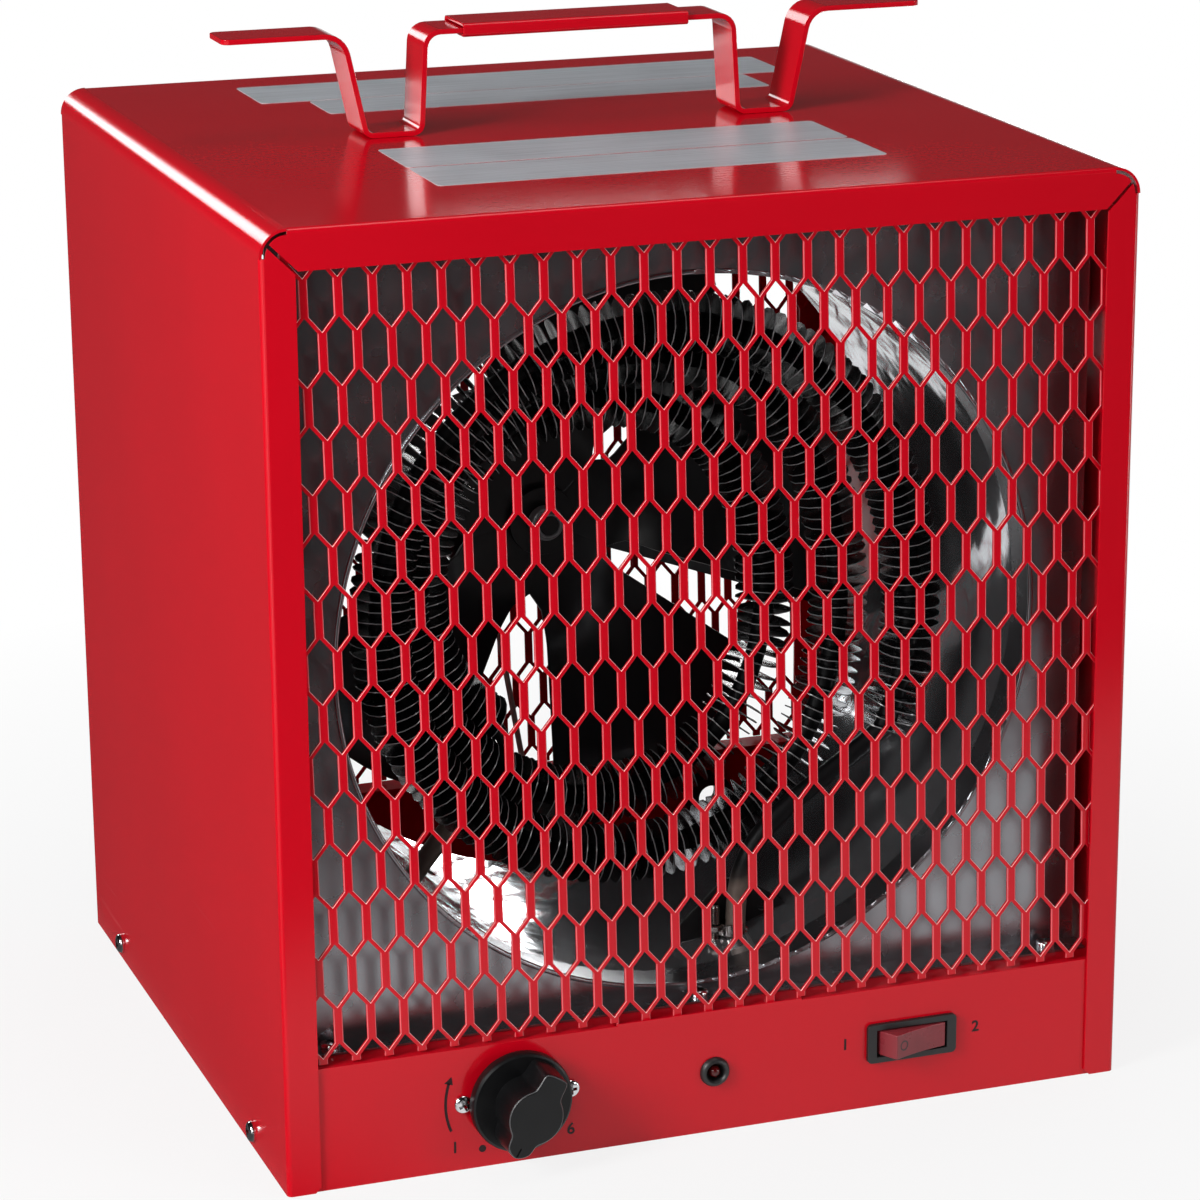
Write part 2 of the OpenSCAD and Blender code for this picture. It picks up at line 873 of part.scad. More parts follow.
module motor_screws() {
  color(bright) {
    motor_screw_places()
      translate([0, 0, 0.05])
        screw(screw_head_d / 2, 2.4, bracket_t + 6);
    for (a = arm_angles)
      spoke(a)
        translate([foot_screw_r, drum_rear + 0.15 + bracket_t, 0])
          rotate([-90, 0, 0])
            screw(screw_head_d / 2, 2.4, bracket_t + 6);
  }
}

// half of the handle's middle line, from the centre to a tip
handle_knots = [[0, bar_z, 0], [riser_x, bar_z, 6], [riser_x + 2.2, foot_z, 3.5], [foot_x, foot_z, 3.5],
  [foot_x + leg_lean, arm_z, 9], [arm_half, arm_z, 0]];
handle_pts = [for (k = handle_knots) [k[0], k[1]]];
handle_half = concat([for (i = [1 : 4]) for (t = [0 : 0.2 : 1])
  round_corner(handle_pts, i, handle_knots[i][2], t)], [handle_pts[5]]);
handle_line = concat([for (i = [len(handle_half) - 1 : -1 : 0]) [-handle_half[i][0], handle_half[i][1]]],
  handle_half);
function side_step(i, s) =
  let (t = path_dir(handle_line, i)) handle_line[i] + s * strip_t / 2 * [-t[1], t[0]];

module handle_strip() {
  n = len(handle_line);
  color(red)
    translate([handle_x, 0, 0])
      along_y(handle_y - strip_w / 2, handle_y + strip_w / 2)
        polygon(concat([for (i = [0 : n - 1]) side_step(i, 1)],
          [for (i = [n - 1 : -1 : 0]) side_step(i, -1)]));
}

// rounded bar section of the grip sleeve
module grip_section(inset) {
  low = bar_z - strip_t / 2 - 0.2 - grip_t + inset;
  high = bar_z + strip_t / 2 + grip_rise - inset;
  half = strip_w / 2 + 0.3 + grip_t - inset;
  r = grip_t + 0.3 - inset;
  translate([handle_y - half, low + r])
    square([2 * half, high - low - 2 * r]);
  translate([handle_y - half + r, low])
    square([2 * half - 2 * r, high - low]);
  for (s = [-1, 1])
    for (z = [low + r, high - r])
      translate([handle_y + s * (half - r), z])
        circle(r = r);
}

module grip_sleeve() {
  color(red)
    along_x(grip_x - grip_half, grip_x + grip_half)
      difference() {
        grip_section(0);
        grip_section(grip_t);
        translate([handle_y - 3.5, bar_z - strip_t / 2 - 4])
          square([7, 4.5]);
      }
}

// front view of the knob grip, its pointed end down
module knob_grip() {
  circle(r = grip_r * 0.6);
  intersection() {
    circle(r = grip_r);
    translate([-wing_w / 2, 0])
      square([wing_w, 2 * grip_r]);
  }
  polygon([[-wing_w / 2, 0], [-wing_w / 2, -grip_r * 0.78], [-wing_w * 0.2, -grip_r * 0.96],
    [wing_w * 0.2, -grip_r * 0.96], [wing_w / 2, -grip_r * 0.78], [wing_w / 2, 0]]);
}

module thermostat_knob() {
  color(black)
    on_front(-knob_x, knob_base, control_z)
      difference() {
        union() {
          cylinder(r = skirt_r, h = skirt_t);
          rotate(-knob_rest)
            linear_extrude(height = skirt_t + grip_h)
              knob_grip();
        }
        translate([0, 0, -1])
          cylinder(r = spindle_r + 0.05, h = 13);
      }
}

module thermostat_shaft() {
  color(bright)
    on_front(-knob_x, thermo_y + 8, control_z)
      cylinder(r = spindle_r, h = thermo_y + 8 - knob_base + 10);
}

module thermostat_body() {
  color([0.75, 0.72, 0.66])
    difference() {
      union() {
        translate([-knob_x, thermo_y + thermo_l / 2, control_z])
          cube([thermo_w, thermo_l, thermo_h], center = true);
        translate([-knob_x, thermo_y + 0.75, control_z])
          cube([thermo_pitch + 9, 1.5, 11], center = true);
      }
      on_front(-knob_x, thermo_y + 9, control_z)
        cylinder(r = spindle_r + run_gap, h = 12);
      thermo_screw_places()
        translate([0, 0, -8])
          cylinder(r = 1.5 + hole_gap, h = 12);
    }
}

// places of the two thermostat screws, their height running to the front
module thermo_screw_places() {
  for (s = [-1, 1])
    on_front(-knob_x + s * thermo_pitch / 2, panel_front, control_z)
      children();
}

module thermostat_screws() {
  color(bright)
    thermo_screw_places()
      translate([0, 0, 0.05]) {
        cylinder(r = 3.5, h = 1.9);
        translate([0, 0, -6])
          cylinder(r = 1.5, h = 6);
      }
}

module lamp_bezel() {
  color(black)
    on_front(0, panel_front, lamp_z)
      difference() {
        union() {
          translate([0, 0, 0.05])
            cylinder(r = lamp_r, h = 2.2);
          translate([0, 0, -lamp_l])
            cylinder(r = lamp_r - 1.2, h = lamp_l + 1);
        }
        translate([0, 0, -14])
          cylinder(r = lamp_bore_r, h = 20);
      }
}

module lamp_lens() {
  color([0.5, 0.02, 0.03])
    on_front(0, panel_front, lamp_z) {
      translate([0, 0, -12])
        cylinder(r = lamp_bore_r - 0.2, h = 9);
      translate([0, 0, -4])
        cylinder(r = lamp_bore_r - 1, h = 3.6);
      translate([0, 0, -0.4])
        sphere(r = lamp_bore_r - 1);
    }
}

module switch_frame() {
  color(black)
    difference() {
      union() {
        translate([switch_x - switch_w / 2, panel_front - 2, control_z - switch_h / 2])
          cube([switch_w, 1.95, switch_h]);
        translate([switch_x - switch_in_w / 2 - switch_wall, panel_front - 1,
                   control_z - switch_in_h / 2 - switch_wall])
          cube([switch_in_w + 2 * switch_wall, switch_l + 1, switch_in_h + 2 * switch_wall]);
        for (s = [-1, 0, 1])
          translate([switch_x + s * 10 - 0.4, panel_front + switch_l - 1, control_z - 2.4])
            cube([0.8, tab_l, 4.8]);
      }
      translate([switch_x - switch_in_w / 2, panel_front - 3, control_z - switch_in_h / 2])
        cube([switch_in_w, switch_l + 1, switch_in_h]);
      translate([switch_x, rocker_y, control_z - switch_in_h / 2 - switch_wall + 0.4])
        cylinder(r = 1.5 + run_gap, h = switch_in_h + 2 * switch_wall - 0.8);
    }
}

module switch_rocker() {
  color([0.35, 0.03, 0.05])
    translate([switch_x, rocker_y, control_z])
      rotate([0, 0, rocker_tilt]) {
        translate([0, 0, -rocker_z])
          linear_extrude(height = 2 * rocker_z)
            polygon([[-rocker_half, -0.7], [-rocker_face, -rocker_ridge], [-rocker_face / 2, 0.6 - rocker_ridge],
              [0, 0.8 - rocker_ridge], [rocker_face / 2, 0.6 - rocker_ridge], [rocker_face, -rocker_ridge],
              [rocker_half, -0.7], [rocker_half - 0.7, 3], [6, 7], [-6, 7], [-rocker_half + 0.7, 3]]);
        translate([0, 0, -rocker_z - 1])
          cylinder(r = 1.5, h = 2 * rocker_z + 2);
      }
}

module casing_screws() {
  color(bright)
    casing_screw_places()
      translate([0, 0, 0.05])
        screw(screw_head_d / 2, 2.6, 8);
}

module baffle_screws() {
  color(bright)
    baffle_screw_places()
      translate([0, 0, 0.05])
        screw(screw_head_d / 2 - 0.3, 2.6, 7);
}

module terminal_block() {
  cell = block_w / 3;
  color([0.88, 0.86, 0.8])
    difference() {
      translate([block_x - block_w / 2, block_y, sheet_t + 0.05])
        cube([block_w, block_d, block_h]);
      for (i = [-1 : 1])
        translate([block_x + i * cell - cell / 2 + 1.5, block_y + 5, sheet_t + block_h - 7])
          cube([cell - 3, block_d - 10, 8]);
    }
}

function limit_x() = baffle_half - 30;
function limit_z() = baffle_top - 38;

module limit_cutout() {
  color([0.2, 0.2, 0.2])
    translate([limit_x(), baffle_back, limit_z()])
      rotate([-90, 0, 0]) {
        translate([0, 0, 0.1])
          cylinder(r = 12, h = 1);
        cutout_body();
      }
}

// body of the cut-out with its two tabs
module cutout_body() {
  translate([0, 0, 0.6])
    cylinder(r = 9, h = 11);
  for (s = [-1, 1])
    translate([s * 4 - 0.4, -2.4, 11])
      cube([0.8, 4.8, 8]);
}

module cord_gland() {
  color(black)
    translate([gland_x, -panel_front, gland_z])
      rotate([-90, 0, 0])
        difference() {
          union() {
            translate([0, 0, 0.05])
              cylinder(r = gland_r + 2.5, h = 4);
            translate([0, 0, -gland_l])
              cylinder(r = gland_r, h = gland_l + 1);
          }
          translate([0, 0, -gland_l - 1])
            cylinder(r = 5.5, h = 20);
        }
}

// rounded corner i of a row of points
function round_corner(p, i, r, t) =
  let (a = p[i] + r * unit(p[i - 1] - p[i]), b = p[i] + r * unit(p[i + 1] - p[i]))
    a * (1 - t) * (1 - t) + 2 * p[i] * t * (1 - t) + b * t * t;
function lead_line(p) = concat([p[0]],
  [for (i = [1 : len(p) - 2]) for (t = [0 : 0.25 : 1]) round_corner(p, i, 6, t)], [p[len(p) - 1]]);

// insulated wire through a row of points, with round corners
module lead(points) {
  sweep(lead_line(points), wire_r, 6, [0.4, 0.25, 1]);
}

module wire_leads() {
  gap = 0.3;
  floor_z = sheet_t + wire_r + gap;
  block_front = block_y - gap;
  block_back = block_y + block_d + gap;
  block_z = sheet_t + block_h * 0.35;
  near_y = front_y + 46;
  far_y = front_y + 54;
  switch_back = panel_front + switch_l - 1 + tab_l + gap;
  thermo_back = thermo_y + thermo_l + gap;
  lamp_back = panel_front + lamp_l + gap;
  tip_z = lead_low + 4 - terminal_l - tab_l - gap;
  end = end_out(terminal_l - 4 + tab_l + gap);
  turn = end_out(terminal_l - 4 + tab_l + 9);
  low = [turn[0] - 4, turn[1], floor_z];
  color([0.85, 0.82, 0.75]) {
    lead([[block_x - block_w / 3, block_front, block_z], [block_x - block_w / 3, far_y, block_z],
      [switch_x - 10, near_y, control_z], [switch_x - 10, switch_back, control_z]]);
    lead([[block_x, block_front, block_z], [block_x, far_y + 6, block_z], [switch_x + 10, near_y, control_z],
      [switch_x + 10, switch_back, control_z]]);
    lead([[switch_x, switch_back, control_z], [switch_x, near_y - 4, control_z],
      [switch_x - 6, near_y - 4, floor_z], [-knob_x + 14, near_y - 4, floor_z],
      [-knob_x + 8, near_y - 4, control_z], [-knob_x + 8, thermo_back, control_z]]);
    lead([[-knob_x - 8, thermo_back, control_z], [-knob_x - 8, far_y, control_z],
      [low[0], far_y + 8, floor_z], low, turn, end]);
    lead([[0, lamp_back, lamp_z], [0, lamp_back + 20, lamp_z], [lead_x, coil_y, floor_z],
      [lead_x, coil_y, tip_z]]);
    lead([[block_x + block_w / 3, block_front, block_z], [block_x + block_w / 3, block_y - 14, block_z],
      [block_x + block_w / 3, block_y - 48, floor_z], [20, block_y - 48, floor_z], [20, motor_y + motor_l * 0.5, floor_z],
      [0, motor_y + motor_l - 8, axis_z - motor_r - 1.6]]);
    lead([[block_x + 6, block_back, block_z], [block_x + 6, block_back + 8, block_z],
      [gland_x, block_back + 22, gland_z], [gland_x, -panel_front - gland_l - gap, gland_z]]);
  }
}

cabinet_shell();
base_pan();
front_grille();
rear_grille();
baffle_plate();
air_drum();
element_tube();
element_fins();
element_terminals();
element_saddle();
fan_blades();
fan_hub();
fan_collar();
motor_shaft();
motor_rotor();
motor_shell_front();
motor_shell_rear();
motor_stator();
motor_bearings();
motor_bracket();
motor_screws();
handle_strip();
grip_sleeve();
thermostat_knob();
thermostat_shaft();
thermostat_body();
thermostat_screws();
lamp_bezel();
lamp_lens();
switch_frame();
switch_rocker();
casing_screws();
baffle_screws();
terminal_block();
limit_cutout();
cord_gland();
wire_leads();
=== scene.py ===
"""Infrared garage heater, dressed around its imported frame.

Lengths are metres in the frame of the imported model: X to the right seen from
the front, -Y out of the front grille, Z up, origin at the bottom centre.
Sizes in the classes of the pieces are millimetres and degrees, as in the drawing.
"""
from __future__ import annotations

import json
import logging
import math
from dataclasses import dataclass
from enum import Enum
from typing import Callable, Sequence

import bmesh
import bpy
from mathutils import Matrix, Vector

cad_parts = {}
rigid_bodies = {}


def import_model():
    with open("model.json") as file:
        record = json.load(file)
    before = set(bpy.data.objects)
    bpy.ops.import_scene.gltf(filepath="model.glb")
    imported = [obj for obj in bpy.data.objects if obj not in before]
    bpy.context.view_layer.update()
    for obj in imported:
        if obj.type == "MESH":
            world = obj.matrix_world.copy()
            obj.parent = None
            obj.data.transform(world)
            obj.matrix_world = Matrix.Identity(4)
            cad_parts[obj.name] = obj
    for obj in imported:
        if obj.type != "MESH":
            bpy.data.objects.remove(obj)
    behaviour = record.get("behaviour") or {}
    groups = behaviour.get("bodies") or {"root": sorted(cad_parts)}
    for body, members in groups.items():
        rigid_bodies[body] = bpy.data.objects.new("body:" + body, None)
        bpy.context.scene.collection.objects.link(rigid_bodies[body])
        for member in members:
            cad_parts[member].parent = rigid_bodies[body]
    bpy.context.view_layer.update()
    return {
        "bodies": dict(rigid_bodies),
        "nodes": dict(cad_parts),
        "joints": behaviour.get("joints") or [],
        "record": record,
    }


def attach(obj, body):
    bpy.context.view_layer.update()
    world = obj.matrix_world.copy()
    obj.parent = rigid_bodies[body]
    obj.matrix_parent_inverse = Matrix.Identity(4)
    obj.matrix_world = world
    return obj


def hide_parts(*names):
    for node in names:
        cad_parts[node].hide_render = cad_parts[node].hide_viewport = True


LOG = logging.getLogger("heater")
MM = 0.001
UPRIGHT = Matrix.Identity(4)
FRONTWARD = Matrix.Rotation(math.radians(90), 4, "X")
REARWARD = Matrix.Rotation(math.radians(-90), 4, "X")
Pair = tuple[float, float]
Point = tuple[float, float, float]
Colour = tuple[float, float, float]
Test = Callable[[Vector, Vector], bool]
Socket = bpy.types.NodeSocket
Material = bpy.types.Material
Piece = bpy.types.Object


class Body(Enum):
    """Names of the moving groups."""

    CASING = "casing"
    FAN = "fan"
    KNOB = "knob"
    ROCKER = "rocker"


class Slot(Enum):
    """Names of the record's material slots."""

    RED = "red_paint"
    SHEET = "bright_sheet"
    DRUM = "polished_drum"
    SHEATH = "element_sheath"
    FINS = "element_black"
    BLACK_METAL = "black_part_metal"
    ZINC = "zinc"
    MOTOR = "motor_steel"
    BRASS = "bearing_brass"
    CERAMIC = "ceramic"
    BLACK = "black_plastic"
    LAMP = "lamp_red"
    ROCKER = "rocker_red"
    SCREW = "screw_chrome"
    WIRE = "wire_insulation"


class Trim(Enum):
    """Finishes of details that differ from their slot's own, among them painted highlights on
    rounded edges and a painted lit grey on the fan's collar.
    """

    FOIL = "foil"
    DULLED = "dulled"
    DIAL = "dial"
    INK = "ink"
    # Painted highlight: a light grey on the fan's black collar so its rings read lit in the shaded
    # drum.
    COLLAR = "collar"
    # Painted highlight: mid pink on the side-facing rounded edges of the front mesh's strands.
    STRAND_EDGE = "strand_edge"
    # Painted highlight: pale pink on the up-facing rounded edges of the front mesh's strands.
    STRAND_TOP = "strand_top"
    # Painted highlight: lighter grey on the black fins' rims.
    FIN_EDGE = "fin_edge"
    # Painted highlight: lighter grey on the knob grip's front rounded edges.
    DIAL_EDGE = "dial_edge"


class Kind(Enum):
    """What a selection is made of."""

    VERT = "VERT"
    EDGE = "EDGE"
    FACE = "FACE"


def share(value: float) -> float:
    """Holds a value between 0 and 1."""
    return min(1.0, max(0.0, value))


def shade(colour: Colour, factor: float) -> Colour:
    """A darker or lighter colour."""
    return tuple(part * factor for part in colour)


def on_circle(middle: Pair, radius: float, angle: float) -> Pair:
    """A point of a circle, from its angle in radians."""
    return middle[0] + radius * math.cos(angle), middle[1] + radius * math.sin(angle)


class Bench:
    """The hand steps that shape one mesh at a time."""

    @staticmethod
    def take(piece: Piece) -> None:
        """Selects one piece alone and makes it active."""
        bpy.ops.object.select_all(action="DESELECT")
        piece.select_set(True)
        bpy.context.view_layer.objects.active = piece

    @staticmethod
    def edit(piece: Piece) -> None:
        """Opens one piece in edit mode with all of it selected."""
        Bench.take(piece)
        bpy.ops.object.mode_set(mode="EDIT")
        bpy.ops.mesh.select_all(action="SELECT")

    @staticmethod
    def done() -> None:
        """Leaves edit mode."""
        bpy.ops.object.mode_set(mode="OBJECT")

    @staticmethod
    def close() -> None:
        """Turns all faces outwards and leaves edit mode."""
        bpy.ops.mesh.select_all(action="SELECT")
        bpy.ops.mesh.normals_make_consistent(inside=False)
        Bench.done()

    @staticmethod
    def named(name: str) -> Piece:
        """The piece that was just made, under its name."""
        piece = bpy.context.object
        piece.name = piece.data.name = name
        return piece

    @staticmethod
    def settle() -> None:
        """Puts the place and size of the piece that was just added into its mesh."""
        bpy.ops.object.transform_apply(location=True, rotation=True, scale=True)

    @staticmethod
    def pick(piece: Piece, kind: Kind, test: Test) -> None:
        """Selects what a test on its middle and its direction finds.

        Args:
            piece: Piece in edit mode.
            kind: Vertices, edges or faces.
            test: Called with the middle and the normal, for edges the direction.
        """
        bpy.ops.mesh.select_mode(type=kind.value)
        bpy.ops.mesh.select_all(action="DESELECT")
        data = bmesh.from_edit_mesh(piece.data)
        if kind is Kind.FACE:
            for face in data.faces:
                face.select_set(test(face.calc_center_median(), face.normal))
        elif kind is Kind.EDGE:
            for edge in data.edges:
                ends = [vert.co for vert in edge.verts]
                edge.select_set(test((ends[0] + ends[1]) / 2, (ends[1] - ends[0]).normalized()))
        else:
            for vert in data.verts:
                vert.select_set(test(vert.co, vert.normal))
        data.select_flush_mode()
        bmesh.update_edit_mesh(piece.data)

    @staticmethod
    def move(piece: Piece, way: Callable[[Vector], Vector]) -> None:
        """Moves each selected vertex to where a rule puts it.

        Args:
            piece: Piece in edit mode.
            way: Gives the new place of a vertex from its old one.
        """
        data = bmesh.from_edit_mesh(piece.data)
        for vert in data.verts:
            if vert.select:
                vert.co = way(vert.co.copy())
        bmesh.update_edit_mesh(piece.data)

    @staticmethod
    def extrude(*way: float) -> None:
        """Extrudes what is selected by millimetres along X, Y and Z."""
        step = tuple(part * MM for part in way)
        bpy.ops.mesh.extrude_region_move(TRANSFORM_OT_translate={"value": step})

    @staticmethod
    def block(name: str, low: Sequence[float], high: Sequence[float]) -> Piece:
        """Adds a box between two corners in millimetres.

        Args:
            name: Name of the piece.
            low: Lowest corner.
            high: Highest corner.

        Returns:
            The box, its place in its mesh.
        """
        bpy.ops.object.select_all(action="DESELECT")
        size = [(b - a) * MM for a, b in zip(low, high)]
        middle = [(a + b) / 2 * MM for a, b in zip(low, high)]
        bpy.ops.mesh.primitive_cube_add(size=1.0, location=middle, scale=size)
        piece = Bench.named(name)
        Bench.settle()
        return piece

    @staticmethod
    def circle(name: str, ring: Pair, sides: int) -> Piece:
        """Adds a circle about Z and opens it in edit mode.

        Args:
            name: Name of the piece.
            ring: Radius and height in millimetres.
            sides: Number of sides.

        Returns:
            The empty circle, all of it selected.
        """
        bpy.ops.object.select_all(action="DESELECT")
        radius, height = ring
        bpy.ops.mesh.primitive_circle_add(vertices=sides, radius=radius * MM,
                                          location=(0, 0, height * MM))
        piece = Bench.named(name)
        Bench.settle()
        Bench.edit(piece)
        return piece

    @staticmethod
    def to_ring(piece: Piece, ring: Pair) -> None:
        """Moves the selected vertices onto a ring about Z.

        Args:
            piece: Piece in edit mode.
            ring: Radius and height in millimetres.
        """
        radius, height = (part * MM for part in ring)

        def outward(co: Vector) -> Vector:
            """Puts one vertex on the ring."""
            flat = Vector((co.x, co.y, 0)).normalized() * radius
            return Vector((flat.x, flat.y, height))

        Bench.move(piece, outward)

    @staticmethod
    def turned(name: str, rings: Sequence[Pair], sides: int = 48) -> Piece:
        """Turns a body about Z, extruding a round face from ring to ring.

        Args:
            name: Name of the piece.
            rings: Radius and height of each ring, a last radius of 0 closes to a point.
            sides: Number of sides.

        Returns:
            The closed body.
        """
        piece = Bench.circle(name, rings[0], sides)
        bpy.ops.mesh.select_mode(type="VERT")
        bpy.ops.mesh.edge_face_add()
        bpy.ops.mesh.select_mode(type="FACE")
        for ring in rings[1:]:
            bpy.ops.mesh.extrude_region_move()
            Bench.to_ring(piece, ring)
        if rings[-1][0] == 0:
            bpy.ops.mesh.merge(type="CENTER")
        Bench.close()
        return piece

    @staticmethod
    def ring(name: str, rings: Sequence[Pair], sides: int = 48) -> Piece:
        """Turns a body with a hole about Z, extruding an edge from ring to ring and closing it.

        Args:
            name: Name of the piece.
            rings: Radius and height of each ring in millimetres.
            sides: Number of sides.

        Returns:
            The closed body.
        """
        piece = Bench.circle(name, rings[0], sides)
        bpy.ops.mesh.select_mode(type="EDGE")
        bpy.ops.mesh.select_all(action="SELECT")
        for ring in rings[1:]:
            bpy.ops.mesh.extrude_edges_move()
            Bench.to_ring(piece, ring)
        bpy.ops.mesh.select_all(action="DESELECT")
        bpy.ops.mesh.select_non_manifold()
        bpy.ops.mesh.bridge_edge_loops()
        Bench.close()
        return piece

    @staticmethod
    def outline(name: str, points: Sequence[Pair]) -> Piece:
        """A flat face in X and Y with given corners.

        Args:
            name: Name of the piece.
            points: Corners in millimetres, in order.

        Returns:
            The face.
        """
        bpy.ops.object.select_all(action="DESELECT")
        bpy.ops.mesh.primitive_circle_add(vertices=len(points), radius=MM, fill_type="NGON")
        piece = Bench.named(name)
        for vert, (x, y) in zip(piece.data.vertices, points):
            vert.co = (x * MM, y * MM, 0)
        return piece

    @staticmethod
    def slab(name: str, points: Sequence[Pair], low: float, thick: float, corner: float = 0.0,
             taper: Pair = (1.0, 1.0)) -> Piece:
        """A flat piece with an outline in X and Y.

        Args:
            name: Name of the piece.
            points: Corners in millimetres, in order.
            low: Height of its underside.
            thick: Thickness.
            corner: Rounding of its corners.
            taper: Factors of its upper face along X and Y.

        Returns:
            The closed slab.
        """
        piece = Bench.outline(name, points)
        Bench.edit(piece)
        if corner:
            bpy.ops.mesh.bevel(offset=corner * MM, segments=4, affect="VERTICES")
            bpy.ops.mesh.select_all(action="SELECT")
        Bench.move(piece, lambda co: co + Vector((0, 0, low * MM)))
        Bench.extrude(0, 0, thick)
        Bench.move(piece, lambda co: Vector((co.x * taper[0], co.y * taper[1], co.z)))
        Bench.close()
        return piece

    @staticmethod
    def bent(knots: Sequence[Point], steps: int = 6) -> list[Pair]:
        """A line with rounded bends.

        Args:
            knots: Two places and the radius of the bend at each corner, in millimetres.
            steps: Steps of each bend.

        Returns:
            Points of the line.
        """
        path = [knots[0][:2]]
        for before, (a, b, radius), after in zip(knots, knots[1:], knots[2:]):
            here = Vector((a, b))
            back, on = ((Vector(knot[:2]) - here).normalized() for knot in (before, after))
            half = back.angle(on) / 2
            reach = radius / math.tan(half)
            middle = here + (back + on).normalized() * (radius / math.sin(half))
            start, end = here + back * reach - middle, here + on * reach - middle
            path += [tuple(middle + start.slerp(end, i / steps) * radius)
                     for i in range(steps + 1)]
        return path + [knots[-1][:2]]

    @staticmethod
    def band(name: str, path: Sequence[Pair],
             place: Callable[[float, float, float], Point]) -> Piece:
        """A flat band laid along a line.

        Args:
            name: Name of the piece.
            path: Points of the line in millimetres.
            place: Gives the place from the two parts of a point and 0 or 1 across the band.

        Returns:
            The band without thickness.
        """
        last = len(path) - 1
        bpy.ops.object.select_all(action="DESELECT")
        bpy.ops.mesh.primitive_grid_add(x_subdivisions=last, y_subdivisions=1, size=1.0)
        piece = Bench.named(name)
        for vert in piece.data.vertices:
            a, b = path[round((vert.co.x + 0.5) * last)]
            vert.co = Vector(place(a, b, 1.0 if vert.co.y > 0 else 0.0)) * MM
        return piece

    @staticmethod
    def refine(piece: Piece, kind: str, **values: object) -> None:
        """Adds a modifier, sets it and applies it.

        Args:
            piece: Piece to refine.
            kind: Blender's name of the modifier.
            values: Settings of the modifier.
        """
        Bench.take(piece)
        bpy.ops.object.modifier_add(type=kind)
        modifier = piece.modifiers[-1]
        for key, value in values.items():
            setattr(modifier, key, value)
        bpy.ops.object.modifier_apply(modifier=modifier.name)

    @staticmethod
    def soften(piece: Piece, width: float, segments: int = 2, angle: float = 40.0,
               clamp: bool = True) -> None:
        """Rounds the sharp edges of a piece.

        Args:
            piece: Piece to round.
            width: Width of the rounding in millimetres.
            segments: Steps of the rounding.
            angle: Least angle of an edge that is rounded.
            clamp: Whether the narrowest place of the piece limits the width.
        """
        Bench.refine(piece, "BEVEL", width=width * MM, segments=segments, limit_method="ANGLE",
                     angle_limit=math.radians(angle), use_clamp_overlap=clamp)

    @staticmethod
    def smooth(piece: Piece, angle: float = 40.0) -> None:
        """Shades a piece smooth where it is flatter than an angle, its broad faces kept flat."""
        Bench.take(piece)
        bpy.ops.object.shade_smooth_by_angle(angle=math.radians(angle))
        Bench.refine(piece, "WEIGHTED_NORMAL", mode="FACE_AREA", weight=100, keep_sharp=True)

    @staticmethod
    def thicken(piece: Piece, thick: float, edge: float, segments: int = 2,
                offset: float = 0.0) -> None:
        """Makes a strip or blade of a piece without thickness, its edges rounded.

        Args:
            piece: Piece to thicken.
            thick: Thickness in millimetres.
            edge: Width of the rounding.
            segments: Steps of the rounding.
            offset: -1 grows it to one side, 0 to both.
        """
        Bench.refine(piece, "SOLIDIFY", thickness=thick * MM, offset=offset)
        Bench.soften(piece, edge, segments, 60)
        Bench.smooth(piece)

    @staticmethod
    def cut(piece: Piece, cutter: Piece) -> None:
        """Cuts one piece out of another and removes it."""
        Bench.refine(piece, "BOOLEAN", operation="DIFFERENCE", object=cutter, solver="EXACT")
        Bench.drop(cutter)

    @staticmethod
    def copy(piece: Piece, place: Matrix) -> Piece:
        """A copy of a piece with its own mesh, put in its place.

        Args:
            piece: Piece to copy.
            place: Turn and place of the copy.

        Returns:
            The copy.
        """
        other = piece.copy()
        other.data = piece.data.copy()
        other.data.transform(place)
        bpy.context.scene.collection.objects.link(other)
        return other

    @staticmethod
    def join(pieces: Sequence[Piece], name: str) -> Piece:
        """Joins pieces into one mesh.

        Args:
            pieces: Pieces to join.
            name: Name of the whole.

        Returns:
            The whole.
        """
        Bench.take(pieces[0])
        for piece in pieces[1:]:
            piece.select_set(True)
        bpy.ops.object.join()
        return Bench.named(name)

    @staticmethod
    def drop(piece: Piece) -> None:
        """Removes a pattern piece that has been used."""
        bpy.data.objects.remove(piece)

    @staticmethod
    def facing(place: Sequence[float], turn: Matrix) -> Matrix:
        """A place in millimetres with a turn before it."""
        return Matrix.Translation(Vector(place) * MM) @ turn


